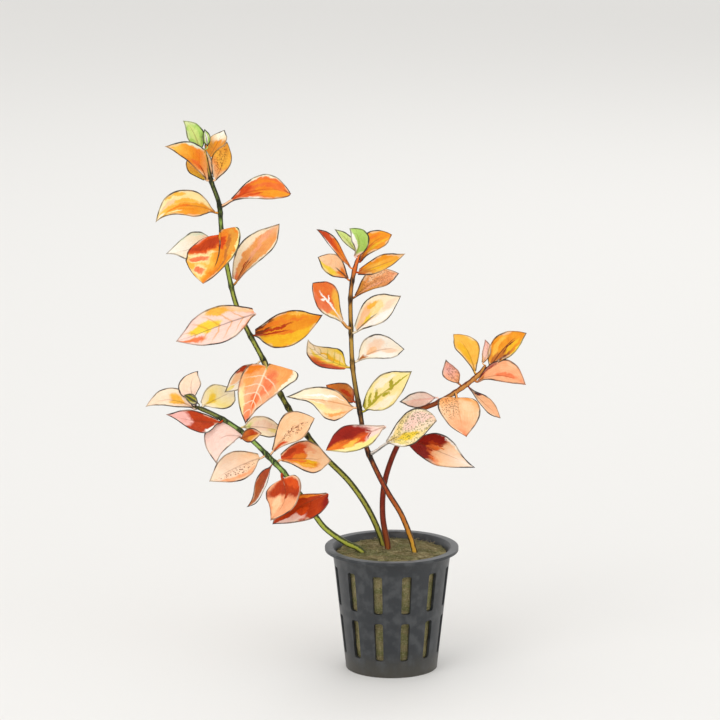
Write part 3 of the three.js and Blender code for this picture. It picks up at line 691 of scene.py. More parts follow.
class LeafSettings(bpy.types.PropertyGroup):
    """What all blades share"""

    thickness: bpy.props.FloatProperty(
        name="Thickness", description="Thickness of a blade near its rib", default=0.00042, unit="LENGTH"
    )
    vein_depth: bpy.props.FloatProperty(
        name="Vein depth", description="How deep the side veins lie", default=0.00013, unit="LENGTH"
    )
    fold: bpy.props.FloatProperty(
        name="Fold", description="How far the margins rise above the rib, as a share of the half width",
        default=0.2, subtype="FACTOR",
    )
    roughness: bpy.props.FloatProperty(
        name="Roughness", description="Roughness of the blades", default=0.46, subtype="FACTOR"
    )


class StageSettings(bpy.types.PropertyGroup):
    """Camera, floor and light"""

    lens: bpy.props.FloatProperty(name="Lens", description="Focal length in millimetres", default=200.0)
    distance: bpy.props.FloatProperty(
        name="Distance", description="From the camera to the middle of the view", default=1.6, unit="LENGTH"
    )
    tilt: bpy.props.FloatProperty(
        name="Tilt", description="How far the camera looks down", default=math.radians(12), subtype="ANGLE"
    )
    floor_colour: bpy.props.FloatVectorProperty(
        name="Floor", description="Colour of the floor", default=(0.76, 0.755, 0.74), subtype="COLOR"
    )
    light: bpy.props.FloatProperty(name="Light", description="Strength of the main light", default=6.6)


# Working in Blender


def deselect_all():
    if bpy.context.object and bpy.context.object.mode != "OBJECT":
        bpy.ops.object.mode_set(mode="OBJECT")
    bpy.ops.object.select_all(action="DESELECT")


def only(piece):
    """Makes a piece the one that is selected and active."""
    deselect_all()
    piece.select_set(True)
    bpy.context.view_layer.objects.active = piece


def join_pieces(piece, other):
    """Joins another piece to the first, and shades the whole smooth."""
    only(piece)
    other.select_set(True)
    bpy.ops.object.join()
    bpy.ops.object.shade_smooth()


def select_points(piece, wanted):
    """In edit mode, selects the vertices whose place passes the test, and nothing else."""
    shape = bmesh.from_edit_mesh(piece.data)
    for face in shape.faces:
        face.select = False
    for edge in shape.edges:
        edge.select = False
    for point in shape.verts:
        point.select = bool(wanted(point.co))
    shape.select_flush(True)
    bmesh.update_edit_mesh(piece.data)


def draw_rings(height, radius, rings):
    """In edit mode, draws the selected ring out through more rings, each given by its height and radius."""
    for new_height, new_radius in rings:
        bpy.ops.mesh.extrude_region_move(TRANSFORM_OT_translate={"value": (0, 0, new_height - height)})
        scale = new_radius / radius
        bpy.ops.transform.resize(value=(scale, scale, 1), center_override=(0, 0, 0))
        height, radius = new_height, new_radius


def apply_modifier(piece, kind, **values):
    """Adds a modifier with its values to a piece and applies it."""
    only(piece)
    modifier = piece.modifiers.new(kind.title(), kind)
    for name, value in values.items():
        setattr(modifier, name, value)
    bpy.ops.object.modifier_apply(modifier=modifier.name)


def weigh(piece, name, weights):
    """Adds a vertex group with one weight per vertex."""
    group = piece.vertex_groups.new(name=name)
    for index, weight in enumerate(weights):
        group.add([index], float(weight), "REPLACE")


def finish_piece(piece, name, node, material):
    """Names a finished piece, gives it its material, and sets it in place of its CAD node."""
    piece.name = name
    piece.data.name = name
    piece.data.materials.clear()
    piece.data.materials.append(material)
    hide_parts(node)
    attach(piece, BODY)


def store(mesh, name, kind, values):
    """Writes an attribute with one value or vector per vertex."""
    attribute = mesh.attributes.new(name, kind, "POINT")
    field = "vector" if kind == "FLOAT_VECTOR" else "value"
    attribute.data.foreach_set(field, np.asarray(values, np.float32).ravel())


def places_of(mesh):
    places = np.zeros(len(mesh.vertices) * 3)
    mesh.vertices.foreach_get("co", places)
    return places.reshape(-1, 3)


def place_points(mesh, places):
    mesh.vertices.foreach_set("co", np.asarray(places, np.float32).ravel())
    mesh.update()


def linear(colour):
    """A colour from 0 to 255 as the shader's own linear values, with alpha."""
    shares = [value / 255 for value in colour]
    curved = [s / 12.92 if s <= 0.04045 else ((s + 0.055) / 1.055) ** 2.4 for s in shares]
    return (*curved, 1.0)


def tint(name):
    return linear(TINTS[name])


# Smooth lines


def smooth_share(points, place):
    """A smooth curve through (place, share) points that never overshoots them, read at many places."""
    places, shares = np.array(points, float).T
    steps = np.diff(places)
    slopes = np.diff(shares) / steps
    before, after = slopes[:-1], slopes[1:]
    same_way = before * after > 0
    inner = np.where(same_way, 2 * before * after / np.where(same_way, before + after, 1), 0)
    tangents = np.concatenate([[slopes[0]], inner, [slopes[-1]]])
    index = np.clip(np.searchsorted(places, place, "right") - 1, 0, len(steps) - 1)
    step = steps[index]
    t = (np.asarray(place) - places[index]) / step
    return (
        shares[index] * (2 * t**3 - 3 * t**2 + 1)
        + tangents[index] * step * (t**3 - 2 * t**2 + t)
        + shares[index + 1] * (3 * t**2 - 2 * t**3)
        + tangents[index + 1] * step * (t**3 - t**2)
    )


def smooth_route(points):
    """Close points along a smooth line through the given ones."""
    given = [Vector(point) for point in points]
    ends = [given[0] * 2 - given[1], *given, given[-1] * 2 - given[-2]]
    route = []
    for a, b, c, d in zip(ends, ends[1:], ends[2:], ends[3:]):
        before, span, after = (math.sqrt((q - p).length) for p, q in ((a, b), (b, c), (c, d)))
        leave = ((b - a) / before - (c - a) / (before + span) + (c - b) / span) * span
        arrive = ((c - b) / span - (d - b) / (span + after) + (d - c) / after) * span
        bend = (c - b) * 3 - leave * 2 - arrive
        turn = (b - c) * 2 + leave + arrive
        for step in range(ROUTE_STEPS):
            t = step / ROUTE_STEPS
            route.append(b + leave * t + bend * t**2 + turn * t**3)
    route.append(given[-1])
    return route


def square_to(direction, v):
    """The part of a vector that is square to a direction, as a unit vector."""
    return (v - direction * v.dot(direction)).normalized()


def falling(values, end, least=0.0):
    """How far values lie before an end, kept between a least share and 1."""
    return np.clip(end - values, least, 1)


class Stem:
    """The line that a stem follows, in millimetres, with its leaves and the heights of its joints."""

    def __init__(self, name):
        row = STEMS[name]
        self.name = name
        self.radii = row["radii"]
        self.bud = row["bud"]
        self.leaves = row["leaves"]
        self.joint_heights = [leaf.height for leaf in self.leaves] + list(row["bare_joints"])
        self.points = smooth_route(row["route"])
        gaps = [(b - a).length for a, b in zip(self.points, self.points[1:])]
        self.lengths = [0.0, *np.cumsum(gaps)]

    def at_height(self, height):
        """The point at a height, the direction there, and the share of the stem's length below it."""
        for index, (low, high) in enumerate(zip(self.points, self.points[1:])):
            if low.z <= height <= high.z:
                part = (height - low.z) / (high.z - low.z)
                length = self.lengths[index] + part * (high - low).length
                return low.lerp(high, part), (high - low).normalized(), length / self.lengths[-1]
        last = self.points[-1]
        return last, (last - self.points[-2]).normalized(), 1.0

    def radius(self, share):
        foot, tip = self.radii
        return foot + (tip - foot) * share


# Building shaders


def feed(tree, socket, value):
    """Links an input to a socket, or gives it a plain value."""
    if isinstance(value, bpy.types.NodeSocket):
        tree.links.new(value, socket)
    else:
        socket.default_value = value


def add(tree, kind, inputs=(), **values):
    """Adds a shader node. Its inputs are given by name or number, each as a value or as a socket to link."""
    node = tree.nodes.new(kind)
    for name, value in values.items():
        setattr(node, name, value)
    for key, value in dict(inputs).items():
        feed(tree, node.inputs[key], value)
    return node


def math_node(tree, operation, *inputs):
    return add(tree, "ShaderNodeMath", dict(enumerate(inputs)), operation=operation).outputs[0]


def times(tree, *inputs):
    """Two values multiplied."""
    return math_node(tree, "MULTIPLY", *inputs)


def vector_node(tree, operation, *inputs):
    return add(tree, "ShaderNodeVectorMath", dict(enumerate(inputs)), operation=operation).outputs[0]


def parts(tree, vector):
    """The three parts of a vector."""
    return add(tree, "ShaderNodeSeparateXYZ", {0: vector}).outputs


def smooth_step(tree, value, span, ends=(0.0, 1.0)):
    """Runs smoothly from one end to the other as a value crosses a span."""
    inputs = {"Value": value, "From Min": span[0], "From Max": span[1], "To Min": ends[0], "To Max": ends[1]}
    return add(tree, "ShaderNodeMapRange", inputs, interpolation_type="SMOOTHSTEP").outputs[0]


def fade_out(tree, value, span):
    """Runs smoothly from 1 to 0 as a value crosses a span."""
    return smooth_step(tree, value, span, (1.0, 0.0))


def noise(tree, place, scale, detail, roughness=0.5):
    inputs = {"Vector": place, "Scale": scale, "Detail": detail, "Roughness": roughness}
    return add(tree, "ShaderNodeTexNoise", inputs).outputs


def mix(tree, share, first, second, blend="MIX"):
    """Mixes two colours by a share."""
    inputs = {0: share, 6: first, 7: second}
    node = add(tree, "ShaderNodeMix", inputs, data_type="RGBA", blend_type=blend, clamp_factor=True)
    return node.outputs[2]


def group(name, inputs, outputs):
    """A new shader group with named sockets: its tree, its inputs by name, and its output node."""
    tree = bpy.data.node_groups.new(name, "ShaderNodeTree")
    kinds = {"value": "NodeSocketFloat", "vector": "NodeSocketVector"}
    for socket_name, kind in inputs.items():
        tree.interface.new_socket(socket_name, in_out="INPUT", socket_type=kinds[kind])
    for socket_name, kind in outputs.items():
        tree.interface.new_socket(socket_name, in_out="OUTPUT", socket_type=kinds[kind])
    return tree, tree.nodes.new("NodeGroupInput").outputs, tree.nodes.new("NodeGroupOutput")


def give(tree, out, *values):
    """Links values to the outputs of a group, in their order."""
    for socket, value in zip(out.inputs, values):
        tree.links.new(value, socket)


def use(tree, name, **inputs):
    """Places a shared group in a tree."""
    node = tree.nodes.new("ShaderNodeGroup")
    node.node_tree = bpy.data.node_groups[name]
    for key, value in inputs.items():
        feed(tree, node.inputs[key.replace("_", " ").capitalize()], value)
    return node.outputs


def new_material(name):
    """A material with an empty tree, its output and a Principled shader."""
    material = bpy.data.materials.new(name)
    material.use_nodes = True
    tree = material.node_tree
    tree.nodes.clear()
    shader = tree.nodes.new("ShaderNodeBsdfPrincipled")
    output = tree.nodes.new("ShaderNodeOutputMaterial")
    tree.links.new(shader.outputs[0], output.inputs[0])
    return material, tree, shader


def dress(tree, shader, colour, roughness, specular, normal):
    """Feeds the Principled shader."""
    feed(tree, shader.inputs["Base Color"], colour)
    feed(tree, shader.inputs["Roughness"], roughness)
    feed(tree, shader.inputs["Specular IOR Level"], specular)
    feed(tree, shader.inputs["Normal"], normal)


def object_place(tree):
    return tree.nodes.new("ShaderNodeTexCoord").outputs["Object"]


def attribute(tree, name):
    return add(tree, "ShaderNodeAttribute", attribute_name=name).outputs


def ramp(tree, value, stops):
    """A colour that changes along a value: stops of place and colour."""
    node = add(tree, "ShaderNodeValToRGB", {0: value})
    elements = node.color_ramp.elements
    while len(elements) > 1:
        elements.remove(elements[-1])
    elements[0].position, elements[0].color = stops[0]
    for place, colour in stops[1:]:
        elements.new(place).color = colour
    return node.outputs[0]


def bump(tree, height, distance, strength=1.0):
    inputs = {"Height": height, "Distance": distance, "Strength": strength}
    return add(tree, "ShaderNodeBump", inputs).outputs[0]


# Shared shader groups. Noise is given as scale, detail and roughness, and a span as where it starts and ends.
# Across a leaf, 0 is its rib and 1 its margin. Widths of lines are in millimetres.

WOBBLE_NOISE = (240.0, 4.0, 0.62)
WOBBLE_SHAPE = (0.35, 1.2, 0.0)
POOL_NOISE = (260.0, 4.0, 0.65)
STREAK_NOISE = (1.8, 4.0, 0.65)
STREAK_SHAPE = (3.0, 11.0, 0.0)
WASH_SPAN = (0.36, 0.64)
LEAF_GRAIN = (1900.0, 2.0)
LINE_NOISE = (420.0, 2.0)
PATCH_NOISE = (150.0, 2.0)
GRAIN_DETAIL = 3.0
BROAD_GRAIN_SHARE = 0.09

VEIN_JITTER = 0.05
VEIN_LINE_SPAN = (0.02, 0.12)
VEIN_ACROSS_SPAN = (0.35, 0.95)
VEIN_FOOT_SPAN = (0.04, 0.12)
VEIN_TIP_SPAN = (0.8, 0.9)
RIB_JITTER = 0.4
RIB_LINE_WIDTHS = (0.45, 0.13)
RIB_LINE_SPAN = (0.45, 1.1)
RIB_END_SPAN = (-0.06, 0.06)
MARGIN_WIDTH = 0.34
MARGIN_JITTER = 0.7
MARGIN_SPAN = (0.6, 1.1)
BARE_NOISE_SPAN = (0.42, 0.66)
BARE_WIDTHS = (0.02, 2.2)
BARE_SPAN = (0.4, 1.0)

SPECK_SCALE = 1750.0
SPECK_SCATTER = 0.9
SPECK_UNEVENNESS = -0.7
SPECK_SPAN = (-0.12, 0.1)


def wobble_group():
    """Shifts a leaf's chart a little by noise, so that the edges of its colours run unevenly, and leans it so
    that they follow the side veins."""
    tree, source, out = group(
        "wobbled_chart", {"Chart": "vector", "Place": "vector", "Amount": "value"}, {"Chart": "vector"}
    )
    uneven = noise(tree, source["Place"], *WOBBLE_NOISE)["Color"]
    shift = vector_node(tree, "SUBTRACT", uneven, (0.5, 0.5, 0.5))
    inputs = {0: shift, "Scale": source["Amount"]}
    sized = add(tree, "ShaderNodeVectorMath", inputs, operation="SCALE").outputs[0]
    shaped = vector_node(tree, "MULTIPLY", sized, WOBBLE_SHAPE)
    moved = parts(tree, vector_node(tree, "ADD", source["Chart"], shaped))
    lean = times(tree, math_node(tree, "ABSOLUTE", moved[1]), VEIN_LEAN)
    start = math_node(tree, "SUBTRACT", moved[0], lean)
    give(tree, out, add(tree, "ShaderNodeCombineXYZ", {0: start, 1: moved[1]}).outputs[0])


def spot_group():
    """A patch of colour on a leaf's chart, at a place and of a half length and half width."""
    tree, source, out = group(
        "leaf_spot",
        {"Chart": "vector", "Middle": "vector", "Size": "vector", "Softness": "value"},
        {"Mask": "value"},
    )
    shift = vector_node(tree, "SUBTRACT", source["Chart"], source["Middle"])
    sized = vector_node(tree, "DIVIDE", shift, source["Size"])
    distance = add(tree, "ShaderNodeVectorMath", {0: sized}, operation="LENGTH").outputs["Value"]
    inner = math_node(tree, "SUBTRACT", 1.0, source["Softness"])
    outer = math_node(tree, "ADD", 1.0, source["Softness"])
    give(tree, out, fade_out(tree, distance, (inner, outer)))


def side_vein_mask(tree, along, away, waver):
    """Lines that lean from the rib towards the tip, and fade towards the margin, the foot and the tip."""
    lean = times(tree, math_node(tree, "POWER", away, VEIN_CURVE), VEIN_LEAN)
    start = math_node(tree, "SUBTRACT", along, lean)
    jittered = math_node(tree, "MULTIPLY_ADD", waver, VEIN_JITTER, start)
    phase = math_node(tree, "FRACT", times(tree, jittered, VEIN_PAIRS))
    distance = math_node(tree, "ABSOLUTE", math_node(tree, "SUBTRACT", phase, 0.5))
    line = fade_out(tree, distance, VEIN_LINE_SPAN)
    across = fade_out(tree, away, VEIN_ACROSS_SPAN)
    past_foot = smooth_step(tree, start, VEIN_FOOT_SPAN)
    before_tip = fade_out(tree, start, VEIN_TIP_SPAN)
    return times(tree, times(tree, line, across), times(tree, past_foot, before_tip))


def vein_group():
    """Masks of the side veins, of the lines on rib and margin, and of bare patches along the margin."""
    tree, source, out = group(
        "leaf_veins",
        {"Chart": "vector", "Spread": "vector", "Place": "vector", "Rib end": "value"},
        {"Veins": "value", "Rib": "value", "Margin": "value", "Bare": "value"},
    )
    along, across, _ = parts(tree, source["Chart"])
    _, from_rib, from_margin = parts(tree, source["Spread"])
    waver = noise(tree, source["Place"], *LINE_NOISE)["Fac"]
    veins = side_vein_mask(tree, along, math_node(tree, "ABSOLUTE", across), waver)
    centred = math_node(tree, "SUBTRACT", from_rib, RIB_JITTER / 2)
    off_rib = math_node(tree, "ABSOLUTE", math_node(tree, "MULTIPLY_ADD", waver, RIB_JITTER, centred))
    rib_width = smooth_step(tree, along, (0.0, 1.0), RIB_LINE_WIDTHS)
    rib_line = fade_out(tree, math_node(tree, "DIVIDE", off_rib, rib_width), RIB_LINE_SPAN)
    past_end = math_node(tree, "SUBTRACT", along, source["Rib end"])
    rib = times(tree, rib_line, fade_out(tree, past_end, RIB_END_SPAN))
    edge_width = math_node(tree, "MULTIPLY_ADD", waver, MARGIN_JITTER, MARGIN_WIDTH)
    edge = fade_out(tree, math_node(tree, "DIVIDE", from_margin, edge_width), MARGIN_SPAN)
    bare_width = smooth_step(
        tree, noise(tree, source["Place"], *PATCH_NOISE)["Fac"], BARE_NOISE_SPAN, BARE_WIDTHS
    )
    bare = fade_out(tree, math_node(tree, "DIVIDE", from_margin, bare_width), BARE_SPAN)
    give(tree, out, veins, rib, edge, bare)


def speck_group():
    """Small dots of uneven size."""
    tree, source, out = group("specks", {"Place": "vector"}, {"Mask": "value"})
    inputs = {"Vector": source["Place"], "Scale": SPECK_SCALE, "Randomness": SPECK_SCATTER}
    cells = add(tree, "ShaderNodeTexVoronoi", inputs).outputs
    size = parts(tree, cells["Color"])[0]
    from_dot = math_node(tree, "MULTIPLY_ADD", size, SPECK_UNEVENNESS, cells["Distance"])
    give(tree, out, fade_out(tree, from_dot, SPECK_SPAN))


def wash_group():
    """Uneven thickness of colour: broad pools, thin streaks along the leaf, and a fine grain."""
    tree, source, out = group(
        "uneven_wash", {"Place": "vector", "Chart": "vector"}, {"Depth": "value", "Grain": "value"}
    )
    pools = noise(tree, source["Place"], *POOL_NOISE)["Fac"]
    drawn = vector_node(tree, "MULTIPLY", source["Chart"], STREAK_SHAPE)
    streaks = noise(tree, drawn, *STREAK_NOISE)["Fac"]
    depth = math_node(tree, "ADD", times(tree, pools, 0.5), times(tree, streaks, 0.5))
    grain = noise(tree, source["Place"], *LEAF_GRAIN)["Fac"]
    give(tree, out, smooth_step(tree, depth, WASH_SPAN), grain)


def grain_group():
    """Fine unevenness of a surface, and broad patches on it."""
    tree, source, out = group(
        "surface_grain", {"Place": "vector", "Scale": "value"}, {"Fine": "value", "Broad": "value"}
    )
    fine = noise(tree, source["Place"], source["Scale"], GRAIN_DETAIL)["Fac"]
    broad = noise(tree, source["Place"], times(tree, source["Scale"], BROAD_GRAIN_SHARE), GRAIN_DETAIL)["Fac"]
    give(tree, out, fine, broad)


# Leaves

POOLING = 0.32
THINNING = 0.2
UNDERSIDE = (244, 200, 168)
UNDERSIDE_SHARE = 0.35
STALK_SHARE = 0.85
SPOT_SOFTNESS = 0.27
SPECKS_SOFTNESS = 0.3
WOBBLE = 0.55
# The margin's line, and the painted shade on a stalk's sides: its strength where it is firm and where it is
# faint, and the noise that changes it
INK_AND_SHADE_SHARES = (0.5, 0.96)
INK_AND_SHADE_NOISE = (120.0, 2.0)
INK_AND_SHADE_SPAN = (0.4, 0.58)
# Where the painted shade on the two sides of a stalk begins, in millimetres from its middle
STALK_SIDE_SHADE_SPAN = (0.27, 0.42)
LEAF_ROUGHNESS_SPREAD = 0.16
LEAF_GRAIN_HEIGHT = 0.5
LEAF_BUMP = 0.00008
LEAF_SPECULAR = 0.14


def leaf_washes(tree, wobbled, look, spot, depth):
    """The tints along a leaf and its spots, paler where the wash is thin and deeper where it pools."""
    stops = [(place, tint(name)) for place, name in look.stops()]
    colour = ramp(tree, parts(tree, wobbled)[0], stops)
    for *where, name in look.spots:
        colour = mix(tree, spot(*where), colour, tint(name))
    deeper = mix(tree, 1.0, colour, colour, "MULTIPLY")
    lighter = mix(tree, 1.0, colour, colour, "SCREEN")
    thin = math_node(tree, "SUBTRACT", 1.0, depth)
    colour = mix(tree, times(tree, thin, THINNING), colour, lighter)
    return mix(tree, times(tree, depth, POOLING), colour, deeper)


def leaf_material(name, look):
    """Colours of one leaf: tints along it, spots, washes, veins, rib, specks, stalk with painted shade on its
    sides, and margin.
    """
    material, tree, shader = new_material(name)
    place = object_place(tree)
    chart = attribute(tree, "chart")["Vector"]
    spread = attribute(tree, "spread")["Vector"]
    under = attribute(tree, "under")["Fac"]
    on_stalk = attribute(tree, "stalk")["Fac"]
    wobbled = use(tree, "wobbled_chart", chart=chart, place=place, amount=WOBBLE)["Chart"]
    wash = use(tree, "uneven_wash", place=place, chart=chart)

    def spot(at, across, long, wide, softness=SPOT_SOFTNESS):
        middle = (at - VEIN_LEAN * abs(across), across, 0)
        size = (long, wide, 1)
        return use(tree, "leaf_spot", chart=wobbled, middle=middle, size=size, softness=softness)["Mask"]

    def lay_over(colour, mask, strength, top):
        return mix(tree, times(tree, mask, strength), colour, top)

    colour = leaf_washes(tree, wobbled, look, spot, wash["Depth"])
    rib_tint, rib_strength, rib_end = look.rib
    lines = use(tree, "leaf_veins", chart=chart, spread=spread, place=place, rib_end=rib_end)
    colour = lay_over(colour, lines["Bare"], look.bare, tint("cream"))
    if look.veins:
        vein_tint, vein_strength = look.veins
        colour = lay_over(colour, lines["Veins"], vein_strength, tint(vein_tint))
    colour = lay_over(colour, lines["Rib"], rib_strength, tint(rib_tint))
    if look.specks:
        *where, speck_tint, speck_strength = look.specks
        dots = times(tree, spot(*where, softness=SPECKS_SOFTNESS), use(tree, "specks", place=place)["Mask"])
        colour = lay_over(colour, dots, speck_strength, tint(speck_tint))
    colour = lay_over(colour, under, UNDERSIDE_SHARE, linear(UNDERSIDE))
    colour = lay_over(colour, on_stalk, STALK_SHARE, tint(look.stalk or look.stops()[0][1]))
    # Painted shade: the stalk darkens towards its two sides, laid on together with the margin's line
    off_middle = math_node(tree, "ABSOLUTE", parts(tree, spread)[1])
    stalk_side_shade = times(tree, on_stalk, smooth_step(tree, off_middle, STALK_SIDE_SHADE_SPAN))
    ink_and_stalk_shade = math_node(tree, "MAXIMUM", stalk_side_shade, lines["Margin"])
    firmness = smooth_step(tree, noise(tree, place, *INK_AND_SHADE_NOISE)["Fac"], INK_AND_SHADE_SPAN, INK_AND_SHADE_SHARES)
    colour = lay_over(colour, ink_and_stalk_shade, firmness, tint("dark"))
    least = bpy.context.scene.leaf_settings.roughness - LEAF_ROUGHNESS_SPREAD / 2
    rough = math_node(tree, "MULTIPLY_ADD", wash["Grain"], LEAF_ROUGHNESS_SPREAD, least)
    height = math_node(tree, "SUBTRACT", times(tree, wash["Grain"], LEAF_GRAIN_HEIGHT), lines["Veins"])
    dress(tree, shader, colour, rough, LEAF_SPECULAR, bump(tree, height, LEAF_BUMP))
    return material


def shape_blade(sides):
    """Models a flat blade: a grid whose columns are moved and narrowed to the outlines of its two sides, with
    its veins pressed in and given its thickness. Returns it, with each vertex's place along and across."""
    settings = bpy.context.scene.leaf_settings
    deselect_all()
    bpy.ops.mesh.primitive_grid_add(x_subdivisions=BLADE_COLUMNS, y_subdivisions=BLADE_ROWS, size=2)
    blade = bpy.context.object
    even = places_of(blade.data)
    columns = np.round((even[:, 0] + 1) / 2 * BLADE_COLUMNS).astype(int)
    across = even[:, 1].copy()
    steps = np.arange(BLADE_COLUMNS + 1) / BLADE_COLUMNS
    crowded = (1 - np.cos(math.pi * steps)) / 2
    shares = (1 - COLUMN_CROWDING) * steps + COLUMN_CROWDING * crowded
    left, right = (smooth_share(OUTLINES[side], shares) for side in sides)
    bpy.ops.object.mode_set(mode="EDIT")
    for column, share in enumerate(shares):
        old = column / BLADE_COLUMNS * 2 - 1

        def in_column(co, old=old):
            return abs(co.x - old) < 0.5 / BLADE_COLUMNS and abs(co.z) < 0.5

        for hand, width in ((1, left[column]), (-1, right[column])):
            select_points(blade, lambda co, hand=hand: in_column(co) and co.y * hand > 0)
            scale = max(width, LEAST_WIDTH) * BLANK_WIDTH * MM / 2
            bpy.ops.transform.resize(value=(1, scale, 1), center_override=(0, 0, 0))
        # Columns that are done are lifted out of the way, so that in_column does not find them again
        select_points(blade, in_column)
        bpy.ops.transform.translate(value=(share * BLANK_LENGTH * MM - old, 0, 1))
    bpy.ops.mesh.select_all(action="SELECT")
    bpy.ops.transform.translate(value=(0, 0, -1))
    bpy.ops.object.mode_set(mode="OBJECT")
    along = shares[columns]
    away = np.abs(across)
    start = along - VEIN_LEAN * away**VEIN_CURVE
    phase = np.abs((start * VEIN_PAIRS) % 1 - 0.5)
    side_veins = falling(phase / VEIN_HALF_WIDTH, 1) * falling(away, VEINS_END_ACROSS)
    rib = falling(away / RIB_HALF_WIDTH, 1) * falling(along, RIB_END_ALONG) * RIB_DEPTH
    weigh(blade, "veins", np.clip(np.maximum(side_veins, rib) / RIB_DEPTH, 0, 1))
    weigh(blade, "body", falling(away, *BODY_ACROSS) * falling(along, *BODY_ALONG))
    depth = settings.vein_depth * RIB_DEPTH
    apply_modifier(blade, "DISPLACE", direction="Z", strength=-depth, mid_level=0.0, vertex_group="veins")
    apply_modifier(
        blade, "SOLIDIFY", thickness=settings.thickness, offset=0.0, vertex_group="body",
        thickness_vertex_group=LEAST_THICKNESS,
    )
    return blade, np.tile(along, 2), np.tile(across, 2)


def shape_rib():
    """Models the stalk and the rib that carries on under the blade, as rings drawn out along a line."""
    place, radius, drop = RIB[0]
    deselect_all()
    bpy.ops.mesh.primitive_circle_add(
        vertices=STALK_SIDES, radius=radius * MM, fill_type="NGON", rotation=(0, -math.pi / 2, 0),
        location=(place * BLANK_LENGTH * MM, 0, drop * MM),
    )
    rib = bpy.context.object
    bpy.ops.object.transform_apply(location=True, rotation=True, scale=True)
    bpy.ops.object.mode_set(mode="EDIT")
    bpy.ops.mesh.select_all(action="SELECT")
    for (old_place, old_radius, old_drop), (place, radius, drop) in zip(RIB, RIB[1:]):
        move = ((place - old_place) * BLANK_LENGTH * MM, 0, (drop - old_drop) * MM)
        bpy.ops.mesh.extrude_region_move(TRANSFORM_OT_translate={"value": move})
        centre = (place * BLANK_LENGTH * MM, 0, drop * MM)
        scale = radius / old_radius
        bpy.ops.transform.resize(value=(1, scale, scale), center_override=centre)
    bpy.ops.mesh.select_all(action="SELECT")
    bpy.ops.mesh.normals_make_consistent(inside=False)
    bpy.ops.object.mode_set(mode="OBJECT")
    return rib


class LeafBlank:
    """A flat leaf with the outlines of its two sides, and where each of its vertices lies on the leaf."""

    def __init__(self, sides):
        blade, along, across = shape_blade(sides)
        half = len(along) // 2
        heights = places_of(blade.data)[:, 2]
        first_is_top = heights[:half].mean() > heights[half:].mean()
        under = np.concatenate([np.full(half, 1 - first_is_top), np.full(half, first_is_top)])
        rib = shape_rib()
        rib_along = places_of(rib.data)[:, 0] / MM / BLANK_LENGTH
        join_pieces(blade, rib)
        self.piece = blade
        self.places = places_of(blade.data) / MM
        self.on_rib = np.arange(len(self.places)) >= len(along)
        self.along = np.concatenate([along, rib_along])
        self.across = np.concatenate([across, np.zeros(len(rib_along))])
        self.under = np.concatenate([under, np.clip(rib_along / STALK_FADE, 0, 1)]).astype(float)
        self.stalk = np.where(self.on_rib, np.clip(0.5 - self.along / STALK_FADE, 0, 1), 0)
        left, right = (smooth_share(OUTLINES[side], np.clip(self.along, 0, 1)) for side in sides)
        self.width = self.by_side(left, right)
        near_foot = np.exp(-((self.along / LOBE_LENGTH) ** 2))
        off_rib = np.minimum(1, np.abs(self.across) * LOBE_RISE)
        self.lobe = self.by_side(*(LOBE_REACH.get(side, 0) for side in sides)) * (near_foot * off_rib)

    def by_side(self, left, right):
        """A value for the blade's left and one for its right, and 0 on the stalk and its rib."""
        return np.where(self.on_rib, 0, np.where(self.across > 0, left, right))


def leaf_spine(stem, leaf, stalk):
    """Points along a leaf from inside its stem to its tip, with the directions to its left and up from its
    face. Places run from -1 in the stem over 0 at the blade's lower end to 1 at the tip."""
    joint, along, share = stem.at_height(leaf.height)
    reach = Vector(leaf.reach)
    first = Vector(leaf.heel) if leaf.heel else reach
    outward = square_to(along, first)
    slant = abs(first.normalized().dot(along))
    clear = stem.radius(share) * JOINT_SWELLING + STEM_CLEARANCE + SLANT_CLEARANCE * slant
    tip = joint + reach
    lower = joint + first if leaf.heel else joint + outward * clear
    chord = (tip - lower).normalized()
    front = square_to(chord, FRONT)
    rise = front.cross(chord)
    if rise.dot(UP) < 0:
        rise.negate()
    angle = math.radians(leaf.roll)
    face = front * math.cos(angle) + rise * math.sin(angle)
    middle = (lower + tip) / 2 + rise * 2 * leaf.arch

    def blade_point(t):
        return lower * (1 - t) ** 2 + middle * 2 * t * (1 - t) + tip * t**2

    def blade_way(t):
        return ((middle - lower) * (1 - t) + (tip - middle) * t).normalized()

    root = joint + outward * stem.radius(share) * ROOT_SHARE
    end = blade_point(stalk)
    leave_pull, arrive_pull = HEEL_PULLS if leaf.heel else STALK_PULLS
    leave = root + outward * (end - root).length * leave_pull
    arrive = end - blade_way(stalk) * (end - root).length * arrive_pull

    def stalk_point(t):
        bent = root * (1 - t) ** 3 + leave * 3 * t * (1 - t) ** 2 + arrive * 3 * t**2 * (1 - t)
        return bent + end * t**3

    on_stalk = np.linspace(-1, 0, STALK_STEPS, endpoint=False)
    on_blade = np.linspace(0, 1, BLADE_STEPS + 1)
    places = np.concatenate([on_stalk, on_blade])
    points = [stalk_point(place + 1) for place in on_stalk]
    points += [blade_point(stalk + (1 - stalk) * place) for place in on_blade]
    ways = [(b - a).normalized() for a, b in zip(points, points[1:])]
    ways = [ways[0], *((a + b).normalized() for a, b in zip(ways, ways[1:])), ways[-1]]
    ups = [None] * len(points)
    for index in range(len(points) - 1, -1, -1):
        if places[index] >= 0:
            ups[index] = square_to(ways[index], face)
        else:
            turn = ways[index + 1].rotation_difference(ways[index])
            ups[index] = square_to(ways[index], turn @ ups[index + 1])
    lefts = [up.cross(way) for up, way in zip(ups, ways)]
    return places, np.array(points), np.array(lefts), np.array(ups), (tip - lower).length


